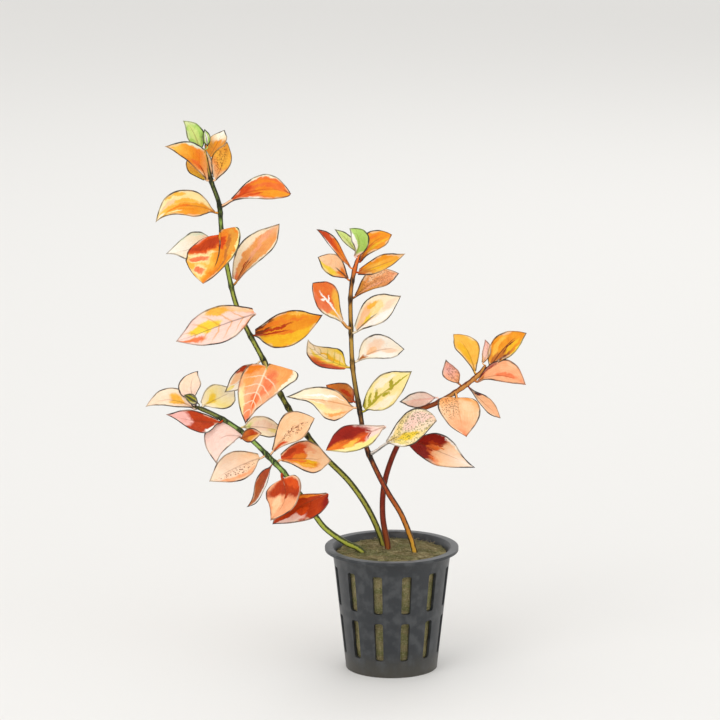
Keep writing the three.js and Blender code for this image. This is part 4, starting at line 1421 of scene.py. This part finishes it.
def lay_leaf(blank, stem, leaf, seed):
    """A copy of a flat leaf, laid along its own spine and folded, with its chart written on it."""
    stalk = 0.0 if leaf.heel else leaf.stalk
    places, points, lefts, ups, length = leaf_spine(stem, leaf, stalk)
    along = blank.along - blank.lobe
    blade_start = int(np.argmin(np.abs(places)))
    behind = (~blank.on_rib & (along < 0))[:, None]

    def read(values):
        inside = np.stack([np.interp(along, places, values[:, axis]) for axis in range(3)], 1)
        return np.where(behind, values[blade_start], inside)

    way = points[blade_start + 1] - points[blade_start]
    back = np.where(blank.on_rib, 0, np.minimum(along, 0))[:, None]
    centre = read(points) + way / np.linalg.norm(way) * back * length
    half = np.where(blank.across > 0, *leaf.widths) * leaf.width / 2
    small = min(1.0, leaf.width / SMALL_LEAF) * (THIN_STALK if stalk < USUAL_STALK and not leaf.heel else 1)
    flat_across = blank.places[:, 1]
    from_rib = np.where(blank.on_rib, flat_across * small, flat_across / (BLANK_WIDTH / 2) * half)
    blade_share = np.clip(along, 0, 1)
    flick = leaf.flick * np.clip((blade_share - FLICK_START) / (1 - FLICK_START), 0, 1) ** 2
    draw = random.Random(seed)
    fold = bpy.context.scene.leaf_settings.fold
    rounding = FOLD_ROUNDING * half
    lift = fold * (np.sqrt(from_rib**2 + rounding**2) - rounding)
    phase = draw.uniform(0, 2 * math.pi)
    waves = draw.uniform(*RIPPLE_WAVES)
    shift = np.where(blank.across > 0, RIPPLE_SHIFT, 0)
    swell = np.sin(2 * math.pi * waves * blade_share + phase + shift)
    ripple = RIPPLE * half * swell * blank.across**2 * np.sin(math.pi * blade_share)
    rise = blank.places[:, 2] * small + np.where(blank.on_rib, 0, lift + ripple)
    laid = centre + read(lefts) * (from_rib + flick)[:, None] + read(ups) * rise[:, None]
    mesh = blank.piece.data.copy()
    place_points(mesh, laid * MM)
    foot = max(stalk, LEAST_STALK_CHART)
    chart_along = foot + np.where(blank.along < 0, foot, 1 - foot) * blank.along
    store(mesh, "chart", "FLOAT_VECTOR", np.stack([chart_along, blank.across, 0 * chart_along], 1))
    edge = np.where(blank.on_rib, OFF_MARGIN, (1 - np.abs(blank.across)) * blank.width * half)
    store(mesh, "spread", "FLOAT_VECTOR", np.stack([along * length, from_rib, edge], 1))
    store(mesh, "under", "FLOAT", blank.under)
    store(mesh, "stalk", "FLOAT", blank.stalk)
    return mesh


class LUDWIGIA_OT_leaves(bpy.types.Operator):
    """Models the leaves of every stem"""

    bl_idname = "ludwigia.leaves"
    bl_label = "Leaves"

    def execute(self, context):
        for make_group in (wobble_group, spot_group, vein_group, speck_group, wash_group):
            make_group()
        blanks = {}
        for stem_name in STEMS:
            stem = Stem(stem_name)
            for number, (leaf, look) in enumerate(zip(stem.leaves, LOOKS[stem_name], strict=True), 1):
                if leaf.sides not in blanks:
                    blanks[leaf.sides] = LeafBlank(leaf.sides)
                node = f"{stem_name}_leaf_{number:02d}"
                mesh = lay_leaf(blanks[leaf.sides], stem, leaf, node)
                piece = bpy.data.objects.new(node + "_blade", mesh)
                context.collection.objects.link(piece)
                paint = leaf_material(node + "_paint", look)
                finish_piece(piece, piece.name, node, paint)
        for blank in blanks.values():
            bpy.data.objects.remove(blank.piece)
        return {"FINISHED"}


# Stems

STEM_GRAIN = 1500.0
STEM_NOISE = (1500.0, 2.0, 0.6)
STEM_STRETCH = (1.0, 1.0, 0.16)
# How far the borders between a stem's colours run up and down, in millimetres
STEM_JITTER = 6.0
STEM_STREAK_SPAN = (0.52, 0.66)
STEM_STREAK_SHARES = (0.0, 0.45)
# Blotches reach this far from a joint, in millimetres, and run this unevenly
BLOTCH_SPAN = (1.0, 3.6)
BLOTCH_JITTER = 8.0
BLOTCH_STREAK_SPAN = (0.46, 0.6)
BLOTCH_STREAK_SHARES = (1.0, 0.5)
# Painted shade on a stem's two sides as seen from the front: how unevenly it begins, how soft it is, and how
# strong
SIDE_SHADE_JITTER = 0.9
SIDE_SHADE_SOFTNESS = 0.3
SIDE_SHADE_SHARES = (0.0, 0.92)
STEM_ROUGHNESS = 0.42
STEM_SPECULAR = 0.18
STEM_BUMP = 0.00012
STEM_BUMP_STRENGTH = 0.8


def stem_material(name):
    """Colours of a stem by height, with painted shade on its two sides as seen from the front, dark blotches
    about its joints and thin streaks along it."""
    skin = STEM_SKINS[name]
    material, tree, shader = new_material(name + "_stem_skin")
    place = object_place(tree)
    height = parts(tree, place)[2]
    uneven = use(tree, "surface_grain", place=place, scale=STEM_GRAIN)
    inputs = {
        "Value": math_node(tree, "MULTIPLY_ADD", uneven["Broad"], STEM_JITTER * MM, height),
        "From Min": (STEM_TINT_LOW + STEM_JITTER / 2) * MM,
        "From Max": (STEM_TINT_HIGH + STEM_JITTER / 2) * MM,
    }
    share = add(tree, "ShaderNodeMapRange", inputs).outputs[0]
    span = STEM_TINT_HIGH - STEM_TINT_LOW
    stops = [((z - STEM_TINT_LOW) / span, linear(colour)) for z, colour in skin["tints"]]
    colour = ramp(tree, share, stops)
    streak = noise(tree, vector_node(tree, "MULTIPLY", place, STEM_STRETCH), *STEM_NOISE)["Fac"]
    paler = smooth_step(tree, streak, STEM_STREAK_SPAN, STEM_STREAK_SHARES)
    colour = mix(tree, paler, colour, linear(skin["streak"]))
    from_joint = math_node(tree, "ADD", attribute(tree, "joint")["Fac"], BLOTCH_JITTER / 2)
    near = math_node(tree, "MULTIPLY_ADD", uneven["Broad"], -BLOTCH_JITTER, from_joint)
    broken = smooth_step(tree, streak, BLOTCH_STREAK_SPAN, BLOTCH_STREAK_SHARES)
    below_top = fade_out(tree, height, ((skin["dark_top"] - 1) * MM, skin["dark_top"] * MM))
    blotch = times(tree, times(tree, fade_out(tree, near, BLOTCH_SPAN), broken), below_top)
    # Painted shade: darker towards the stem's two sides as seen from the front, as a lit tube would look
    side = math_node(tree, "ABSOLUTE", attribute(tree, "side")["Fac"])
    centred = math_node(tree, "SUBTRACT", side, SIDE_SHADE_JITTER / 2)
    uneven_side = math_node(tree, "MULTIPLY_ADD", streak, SIDE_SHADE_JITTER, centred)
    side_shade_span = (skin["side_shade_start"], skin["side_shade_start"] + SIDE_SHADE_SOFTNESS)
    dark = math_node(tree, "MAXIMUM", blotch, smooth_step(tree, uneven_side, side_shade_span, SIDE_SHADE_SHARES))
    colour = mix(tree, dark, colour, linear(skin["dark"]))
    normal = bump(tree, streak, STEM_BUMP, STEM_BUMP_STRENGTH)
    dress(tree, shader, colour, STEM_ROUGHNESS, STEM_SPECULAR, normal)
    return material


def mark_stem(mesh, centres, joint_centres):
    """Writes on a stem how far each vertex is from the nearest joint, in millimetres, and how far it is to
    the side,
    where the painted side shade falls: 0 is the middle as seen from the front, and 1 and -1 are the two
    sides."""
    places = places_of(mesh) / MM
    distance = np.linalg.norm(places[:, None] - joint_centres[None], axis=2).min(1)
    store(mesh, "joint", "FLOAT", distance)
    nearest = np.linalg.norm(places[:, None] - centres[None], axis=2).argmin(1)
    sideways = np.cross(np.gradient(centres, axis=0), np.array(FRONT))
    sideways /= np.linalg.norm(sideways, axis=1)[:, None]
    off = places - centres[nearest]
    side = (off * sideways[nearest]).sum(1) / np.maximum(np.linalg.norm(off, axis=1), LEAST_LENGTH)
    store(mesh, "side", "FLOAT", side)


def model_stem(stem):
    """A stem as a thick line through its points, swollen at each joint and drawn in at the tip."""
    joints = [stem.at_height(height) for height in stem.joint_heights]
    whole = stem.lengths[-1]
    joint_lengths = np.array([share for _, _, share in joints]) * whole
    lengths = np.linspace(0, whole, int(whole / STEM_STEP))
    path = np.array([tuple(point) for point in stem.points])
    centres = np.stack([np.interp(lengths, stem.lengths, path[:, axis]) for axis in range(3)], 1)
    line = bpy.data.curves.new(stem.name, "CURVE")
    line.dimensions = "3D"
    line.bevel_depth = MM
    line.bevel_resolution = STEM_BEVEL_RESOLUTION
    line.use_fill_caps = True
    spline = line.splines.new("POLY")
    spline.points.add(len(lengths) - 1)
    for point, centre, length in zip(spline.points, centres, lengths):
        near = np.abs(joint_lengths - length).min() / JOINT_LENGTH
        swelling = 1 + (JOINT_SWELLING - 1) * math.exp(-(near**2))
        left = min(1, (whole - length) / stem.bud)
        radius = stem.radius(length / whole) * swelling
        point.co = (*centre * MM, 1)
        point.radius = STEM_BUD_RADIUS + (radius - STEM_BUD_RADIUS) * left**STEM_BUD_TAPER
    piece = bpy.data.objects.new(stem.name + "_stem", line)
    bpy.context.collection.objects.link(piece)
    only(piece)
    bpy.ops.object.convert(target="MESH")
    bpy.ops.object.shade_smooth()
    piece = bpy.context.object
    mark_stem(piece.data, centres, np.array([tuple(point) for point, _, _ in joints]))
    return piece


class LUDWIGIA_OT_stems(bpy.types.Operator):
    """Models the four stems"""

    bl_idname = "ludwigia.stems"
    bl_label = "Stems"

    def execute(self, context):
        for name in STEMS:
            piece = model_stem(Stem(name))
            finish_piece(piece, name + "_stem", "stem_" + name, stem_material(name))
        return {"FINISHED"}


# Pot, in millimetres and degrees

POT_SEGMENTS = 72
# Heights between which the slots of the wall lie, and radii between which those of the floor lie
SLOT_TIERS = ((7, 23), (27, 43))
FLOOR_RINGS = (15.0, 7.0)
SLOT_COLUMNS = 12
FLOOR_SLOTS = 8
SLOT_HALF_ANGLE = 5
SLOT_CORNER = 0.9
SLOT_CORNER_SEGMENTS = 3
# How the wall turns out under the lip: height from the lip, and how far outside the wall
LIP_TURN = ((-0.5, 0.1), (0.0, 0.6))
POT_BEVEL = 0.28
POT_BEVEL_SEGMENTS = 2
POT_SHARP_ANGLE = math.radians(40)
# In metres: how close to the ground a point still counts as on it
LEVEL_TOLERANCE = 1e-5

POT_GRAIN = 2600.0
POT_SPECULAR = 0.5
POT_BUMP = 0.00003
POT_ROUGHNESS = (0.3, 0.25)
WORN_COLOUR = (0.06, 0.064, 0.068, 1)
WORN_SPAN = (0.42, 0.7)
WORN_SHARES = (0.0, 0.7)
STAIN_COLOUR = (0.10, 0.088, 0.062, 1)
STAIN_JITTER = 0.012
STAIN_SPAN = (0.004, 0.018)
STAIN_SHARES = (0.5, 0.0)


def pot_material():
    """Dark plastic with worn patches and a stained foot."""
    material, tree, shader = new_material("moulded_plastic")
    place = object_place(tree)
    uneven = use(tree, "surface_grain", place=place, scale=POT_GRAIN)
    worn = smooth_step(tree, uneven["Broad"], WORN_SPAN, WORN_SHARES)
    colour = mix(tree, worn, (*bpy.context.scene.pot_settings.colour, 1), WORN_COLOUR)
    height = math_node(tree, "MULTIPLY_ADD", uneven["Broad"], STAIN_JITTER, parts(tree, place)[2])
    colour = mix(tree, smooth_step(tree, height, STAIN_SPAN, STAIN_SHARES), colour, STAIN_COLOUR)
    least, spread = POT_ROUGHNESS
    rough = math_node(tree, "MULTIPLY_ADD", uneven["Broad"], spread, least)
    dress(tree, shader, colour, rough, POT_SPECULAR, bump(tree, uneven["Fine"], POT_BUMP))
    return material


def pot_wall_radius(height):
    """The wall's outside radius at a height, in metres."""
    settings = bpy.context.scene.pot_settings
    return settings.foot_radius + (settings.top_radius - settings.foot_radius) * height / settings.height


def in_slot(centre):
    """Whether a face with this middle is cut out of the wall or the floor."""
    degrees = math.degrees(math.atan2(centre.y, centre.x))
    column, spoke = 360 / SLOT_COLUMNS, 360 / FLOOR_SLOTS
    beside = abs(degrees % column - column / 2)
    beside_spoke = abs((degrees + spoke / 2) % spoke - spoke / 2)
    reach = math.hypot(centre.x, centre.y) / MM
    in_tier = any(low < centre.z / MM < high for low, high in SLOT_TIERS)
    in_floor = abs(centre.z) < LEVEL_TOLERANCE and FLOOR_RINGS[1] < reach < FLOOR_RINGS[0]
    return (in_tier and beside < SLOT_HALF_ANGLE) or (in_floor and beside_spoke < SLOT_HALF_ANGLE)


def cut_slots(pot):
    """In edit mode, cuts the slots out of the wall and the floor, and rounds their corners."""
    shape = bmesh.from_edit_mesh(pot.data)
    cut = [face for face in shape.faces if in_slot(face.calc_center_median())]
    bmesh.ops.delete(shape, geom=cut, context="FACES")
    bmesh.update_edit_mesh(pot.data)
    shape = bmesh.from_edit_mesh(pot.data)
    for point in shape.verts:
        point.select = len(point.link_faces) == 3 and any(edge.is_boundary for edge in point.link_edges)
    shape.select_flush(True)
    bmesh.update_edit_mesh(pot.data)
    bpy.ops.mesh.bevel(offset=SLOT_CORNER * MM, segments=SLOT_CORNER_SEGMENTS, affect="VERTICES")


def model_pot():
    """The pot's wall and lip as rings drawn up from the foot, its slots cut out, and its walls thickened."""
    settings = bpy.context.scene.pot_settings
    foot = settings.foot_radius
    lip = settings.height - settings.wall
    levels = [(z * MM, pot_wall_radius(z * MM)) for tier in SLOT_TIERS for z in tier]
    levels += [(lip + rise * MM, pot_wall_radius(lip) + out * MM) for rise, out in LIP_TURN]
    levels += [(lip, settings.rim_radius)]
    deselect_all()
    bpy.ops.mesh.primitive_circle_add(vertices=POT_SEGMENTS, radius=foot, fill_type="NOTHING")
    pot = bpy.context.object
    bpy.ops.object.mode_set(mode="EDIT")
    bpy.ops.mesh.select_all(action="SELECT")
    draw_rings(0.0, foot, levels)
    select_points(pot, lambda co: co.z < LEVEL_TOLERANCE)
    draw_rings(0.0, foot, [(0.0, ring * MM) for ring in FLOOR_RINGS])
    bpy.ops.mesh.edge_face_add()
    cut_slots(pot)
    bpy.ops.mesh.select_all(action="SELECT")
    bpy.ops.mesh.normals_make_consistent(inside=False)
    shape = bmesh.from_edit_mesh(pot.data)
    if any(face.normal.z > 0.9 and face.calc_center_median().z < LEVEL_TOLERANCE for face in shape.faces):
        bpy.ops.mesh.flip_normals()
    bpy.ops.object.mode_set(mode="OBJECT")
    apply_modifier(pot, "SOLIDIFY", thickness=settings.wall, offset=-1.0, use_even_offset=True)
    apply_modifier(
        pot, "BEVEL", width=POT_BEVEL * MM, segments=POT_BEVEL_SEGMENTS, limit_method="ANGLE",
        angle_limit=POT_SHARP_ANGLE,
    )
    only(pot)
    bpy.ops.object.shade_smooth_by_angle(angle=POT_SHARP_ANGLE)
    return pot


class LUDWIGIA_OT_pot(bpy.types.Operator):
    """Models the slotted growing pot"""

    bl_idname = "ludwigia.pot"
    bl_label = "Pot"

    def execute(self, context):
        finish_piece(model_pot(), "growing_pot", "pot", pot_material())
        return {"FINISHED"}


# Wool, in millimetres

WOOL_SEGMENTS = 96
WOOL_LEVELS = 30
WOOL_EDGE = 47.6
WOOL_CLEARANCE = 0.35
FLOOR_THICKNESS = 1.6
# Rings of the top, as shares of its radius, and the outer share of it that slopes
CROWN_RINGS = (0.97, 0.92, 0.86, 0.8, 0.73, 0.66, 0.58, 0.5, 0.42, 0.34, 0.26, 0.18, 0.1, 0.04)
CROWN_SLOPE = 0.4
# In metres: the size of lumps in the surface, and how far they stand out
LUMPS = ((0.004, 0.0011), (0.0012, 0.0006))
LUMP_LEVEL = 0.62

WOOL_GRAIN = 1700.0
WOOL_LAYERS = (1.0, 1.0, 2.6)
WOOL_CELLS = 1500.0
MOSSY_COLOUR = (0.20, 0.20, 0.075, 1)
MOSSY_SPAN = (0.35, 0.65)
PALE_COLOUR = (0.60, 0.54, 0.34, 1)
PALE_SPAN = (0.5, 0.72)
PALE_SHARES = (0.0, 0.8)
# Painted shade in the gaps between clumps of fibres
GAP_SHADE_COLOUR = (0.07, 0.05, 0.025, 1)
GAP_SHADE_SPAN = (0.0, 0.12)
GAP_SHADE_SHARES = (0.6, 0.0)
WOOL_ROUGHNESS = 0.95
WOOL_SPECULAR = 0.15
WOOL_BUMP = 0.0006

WOOL_SEED = 11
FIBRE_RINGS = 6
FIBRE_RADIUS = 0.07
FIBRE_LENGTHS = (2.0, 6.0)
FIBRE_BEND = 0.5
FIBRE_ARC = 0.06
# How thick a fibre is at its ends, and over which part of a half wave it thickens
FIBRE_END = 0.4
FIBRE_WAVE = (0.1, 0.8)
FIBRE_SIDES = 3
FIBRE_ANGLES = [side * 2 * math.pi / FIBRE_SIDES for side in range(FIBRE_SIDES)]
FIBRE_RING = [(math.cos(angle), math.sin(angle)) for angle in FIBRE_ANGLES]
# On top: how far out the fibres reach, how far they follow the slope down, and how steeply they rise
TOP_FIBRE_REACH = 0.97
TOP_FIBRE_DROP = 1.4
TOP_FIBRE_RISE = (-0.1, 0.35)
# In the slots: how deep they start, how far to the side in degrees, their length, and how they stand out
SLOT_FIBRE_DEPTH = 0.2
SLOT_FIBRE_ANGLE = 4.5
SLOT_FIBRE_LENGTH = 0.6
SLOT_FIBRE_STEEPNESS = 0.5
SLOT_FIBRE_OUT = (0, 0.3)
# One fibre of this many is in a slot
SLOT_FIBRE_TURN = 4


def wool_material():
    """Matted fibres with mossy patches, pale hairs, and painted shade in the gaps between clumps of fibres.
    """
    material, tree, shader = new_material("mineral_wool")
    layered = vector_node(tree, "MULTIPLY", object_place(tree), WOOL_LAYERS)
    uneven = use(tree, "surface_grain", place=layered, scale=WOOL_GRAIN)
    inputs = {"Vector": layered, "Scale": WOOL_CELLS}
    gaps = add(tree, "ShaderNodeTexVoronoi", inputs, feature="DISTANCE_TO_EDGE").outputs[0]
    mossy = smooth_step(tree, uneven["Broad"], MOSSY_SPAN)
    colour = mix(tree, mossy, (*bpy.context.scene.wool_settings.colour, 1), MOSSY_COLOUR)
    colour = mix(tree, smooth_step(tree, uneven["Fine"], PALE_SPAN, PALE_SHARES), colour, PALE_COLOUR)
    # Painted shade: dark lines along the gaps between clumps of fibres
    colour = mix(tree, smooth_step(tree, gaps, GAP_SHADE_SPAN, GAP_SHADE_SHARES), colour, GAP_SHADE_COLOUR)
    dress(tree, shader, colour, WOOL_ROUGHNESS, WOOL_SPECULAR, bump(tree, uneven["Fine"], WOOL_BUMP))
    return material


def wool_radius(height):
    return pot_wall_radius(height) - bpy.context.scene.pot_settings.wall - WOOL_CLEARANCE * MM


def top_fibre(draw):
    """A fibre on top of the plug: its middle, the way it runs, and the way out of the wool."""
    heading = draw.uniform(0, 2 * math.pi)
    edge = wool_radius(WOOL_EDGE * MM)
    reach = edge * math.sqrt(draw.random()) * TOP_FIBRE_REACH
    angle = draw.uniform(0, 2 * math.pi)
    slope = max(0, reach / edge - (1 - CROWN_SLOPE)) / CROWN_SLOPE
    height = bpy.context.scene.wool_settings.crown - slope * TOP_FIBRE_DROP * MM
    middle = Vector((reach * math.cos(angle), reach * math.sin(angle), height))
    way = Vector((math.cos(heading), math.sin(heading), draw.uniform(*TOP_FIBRE_RISE)))
    return middle, way, UP


def slot_fibre(draw):
    """A fibre in a slot of the wall, given as top_fibre gives one."""
    heading = draw.uniform(0, 2 * math.pi)
    height = draw.uniform(*draw.choice(SLOT_TIERS)) * MM
    column = 360 / SLOT_COLUMNS
    slot = column / 2 + column * draw.randrange(SLOT_COLUMNS)
    angle = math.radians(slot + draw.uniform(-SLOT_FIBRE_ANGLE, SLOT_FIBRE_ANGLE))
    outward = Vector((math.cos(angle), math.sin(angle), 0))
    middle = outward * (wool_radius(height) - SLOT_FIBRE_DEPTH * MM) + UP * height
    way = UP.cross(outward) * math.cos(heading) + UP * math.sin(heading) * SLOT_FIBRE_STEEPNESS
    return middle, way + outward * draw.uniform(*SLOT_FIBRE_OUT), outward


def fibre_points(middle, way, outward, length, bend):
    """Points of a fibre's rings: a short arched hair that turns by its bend at each ring."""
    turn = Quaternion(outward, bend)
    place = middle - way * length * 0.5
    wave_start, wave_length = FIBRE_WAVE
    points = []
    for step in range(FIBRE_RINGS):
        side = way.cross(outward).normalized()
        over = side.cross(way)
        share = step / (FIBRE_RINGS - 1)
        thickness = math.sin(math.pi * (wave_start + wave_length * share))
        radius = FIBRE_RADIUS * MM * (FIBRE_END + (1 - FIBRE_END) * thickness)
        arc = outward * (math.sin(math.pi * share) * length * FIBRE_ARC)
        points += [place + arc + (side * c + over * s) * radius for c, s in FIBRE_RING]
        place = place + way * length / (FIBRE_RINGS - 1)
        way.rotate(turn)
    return points


def fibre_faces(first):
    """Faces of the fibre whose points begin with this number."""
    faces = []
    for step in range(FIBRE_RINGS - 1):
        ring = first + step * FIBRE_SIDES
        for side in range(FIBRE_SIDES):
            here = ring + side
            beside = ring + (side + 1) % FIBRE_SIDES
            faces.append((here, beside, beside + FIBRE_SIDES, here + FIBRE_SIDES))
    last = first + (FIBRE_RINGS - 1) * FIBRE_SIDES
    faces.append(tuple(range(first + FIBRE_SIDES - 1, first - 1, -1)))
    faces.append(tuple(range(last, last + FIBRE_SIDES)))
    return faces


def model_fibres(count):
    """Loose fibres on top of the plug and in the slots."""
    draw = random.Random(WOOL_SEED)
    points, faces = [], []
    for number in range(count):
        on_top = number % SLOT_FIBRE_TURN > 0
        middle, way, outward = top_fibre(draw) if on_top else slot_fibre(draw)
        length = draw.uniform(*FIBRE_LENGTHS) * MM * (1 if on_top else SLOT_FIBRE_LENGTH)
        bend = draw.uniform(-FIBRE_BEND, FIBRE_BEND)
        faces += fibre_faces(len(points))
        points += fibre_points(middle, way.normalized(), outward, length, bend)
    mesh = bpy.data.meshes.new("fibres")
    mesh.from_pydata(points, [], faces)
    return mesh


def model_plug():
    """The wool plug: a round body with a low crown, made uneven all over."""
    edge = WOOL_EDGE * MM
    rise = bpy.context.scene.wool_settings.crown - edge
    bottom = FLOOR_THICKNESS * MM + WOOL_CLEARANCE * MM
    levels = [bottom + (edge - bottom) * level / WOOL_LEVELS for level in range(1, WOOL_LEVELS + 1)]
    rings = [(height, wool_radius(height)) for height in levels]
    for share in CROWN_RINGS:
        rings.append((edge + rise * min(1, (1 - share) / CROWN_SLOPE), wool_radius(edge) * share))
    deselect_all()
    bpy.ops.mesh.primitive_circle_add(
        vertices=WOOL_SEGMENTS, radius=wool_radius(bottom), fill_type="NGON", location=(0, 0, bottom)
    )
    plug = bpy.context.object
    bpy.ops.object.transform_apply(location=True)
    bpy.ops.object.mode_set(mode="EDIT")
    bpy.ops.mesh.select_all(action="SELECT")
    draw_rings(bottom, wool_radius(bottom), rings)
    bpy.ops.mesh.select_all(action="SELECT")
    bpy.ops.mesh.normals_make_consistent(inside=False)
    bpy.ops.object.mode_set(mode="OBJECT")
    for size, strength in LUMPS:
        cloud = bpy.data.textures.new("lumps", "CLOUDS")
        cloud.noise_scale = size
        apply_modifier(plug, "DISPLACE", texture=cloud, strength=strength, mid_level=LUMP_LEVEL)
    return plug


class LUDWIGIA_OT_wool(bpy.types.Operator):
    """Models the mineral wool that holds the stems"""

    bl_idname = "ludwigia.wool"
    bl_label = "Mineral wool"

    def execute(self, context):
        plug = model_plug()
        hairs = bpy.data.objects.new("hairs", model_fibres(context.scene.wool_settings.fibres))
        context.collection.objects.link(hairs)
        join_pieces(plug, hairs)
        finish_piece(plug, "wool_block", "wool_plug", wool_material())
        return {"FINISHED"}


# Stage, in metres

VIEW_MIDDLE = Vector((-0.0128, 0, 0.1269))
FLOOR_SIZE = 60.0
FLOOR_ROUGHNESS = 0.9
WORLD_COLOUR = (1, 0.99, 0.975, 1)
WORLD_STRENGTH = 0.95
SENSOR_WIDTH = 36.0
CLIP_END = 100.0
LIGHTS = [
    # name, place, size, share of the main light's strength
    ("key", (-0.75, -1.0, 1.25), 0.9, 1.0),
    ("fill", (1.1, -0.9, 0.7), 1.1, 0.45),
    ("back", (0.3, 1.2, 1.1), 0.9, 0.5),
]


class LUDWIGIA_OT_stage(bpy.types.Operator):
    """Sets up the floor, the lights and the camera"""

    bl_idname = "ludwigia.stage"
    bl_label = "Stage"

    def execute(self, context):
        settings = context.scene.stage_settings
        deselect_all()
        bpy.ops.mesh.primitive_plane_add(size=FLOOR_SIZE)
        floor = context.object
        floor.name = "floor"
        skin, _, shader = new_material("plain_floor")
        shader.inputs["Base Color"].default_value = (*settings.floor_colour, 1)
        shader.inputs["Roughness"].default_value = FLOOR_ROUGHNESS
        floor.data.materials.append(skin)
        world = context.scene.world or bpy.data.worlds.new("studio")
        context.scene.world = world
        world.use_nodes = True
        background = world.node_tree.nodes["Background"]
        background.inputs["Color"].default_value = WORLD_COLOUR
        background.inputs["Strength"].default_value = WORLD_STRENGTH
        for name, place, size, share in LIGHTS:
            bpy.ops.object.light_add(type="AREA", location=place)
            light = context.object
            light.name = name + "_light"
            light.data.size = size
            light.data.energy = settings.light * share
            light.rotation_euler = (VIEW_MIDDLE - Vector(place)).to_track_quat("-Z", "Y").to_euler()
        back = Vector((0, -math.cos(settings.tilt), math.sin(settings.tilt)))
        bpy.ops.object.camera_add(location=VIEW_MIDDLE + back * settings.distance)
        camera = context.object
        camera.rotation_euler = (math.pi / 2 - settings.tilt, 0, 0)
        camera.data.lens = settings.lens
        camera.data.sensor_width = SENSOR_WIDTH
        camera.data.clip_end = CLIP_END
        context.scene.camera = camera
        context.scene.view_settings.view_transform = "Standard"
        return {"FINISHED"}


class LUDWIGIA_PT_panel(bpy.types.Panel):
    """Lists the pieces of the plant"""

    bl_idname = "LUDWIGIA_PT_panel"
    bl_label = "Potted ludwigia"
    bl_space_type = "VIEW_3D"
    bl_region_type = "UI"
    bl_category = "Ludwigia"

    def draw(self, context):
        for name in SETTINGS:
            box = self.layout.box()
            settings = getattr(context.scene, name)
            for field in settings.bl_rna.properties.keys():
                if field not in ("rna_type", "name"):
                    box.prop(settings, field)
        for operator in OPERATORS:
            self.layout.operator(operator.bl_idname)


SETTINGS = {
    "pot_settings": PotSettings,
    "wool_settings": WoolSettings,
    "leaf_settings": LeafSettings,
    "stage_settings": StageSettings,
}
OPERATORS = (
    LUDWIGIA_OT_stage,
    LUDWIGIA_OT_pot,
    LUDWIGIA_OT_wool,
    LUDWIGIA_OT_stems,
    LUDWIGIA_OT_leaves,
)


def register():
    for cls in (*SETTINGS.values(), *OPERATORS, LUDWIGIA_PT_panel):
        bpy.utils.register_class(cls)
    for name, cls in SETTINGS.items():
        setattr(bpy.types.Scene, name, bpy.props.PointerProperty(type=cls))


def unregister():
    for name in SETTINGS:
        delattr(bpy.types.Scene, name)
    for cls in (LUDWIGIA_PT_panel, *reversed(OPERATORS), *SETTINGS.values()):
        bpy.utils.unregister_class(cls)


def main():
    register()
    grain_group()
    bpy.ops.ludwigia.stage()
    bpy.ops.ludwigia.pot()
    bpy.ops.ludwigia.wool()
    bpy.ops.ludwigia.stems()
    bpy.ops.ludwigia.leaves()


if __name__ == "__main__":
    main()
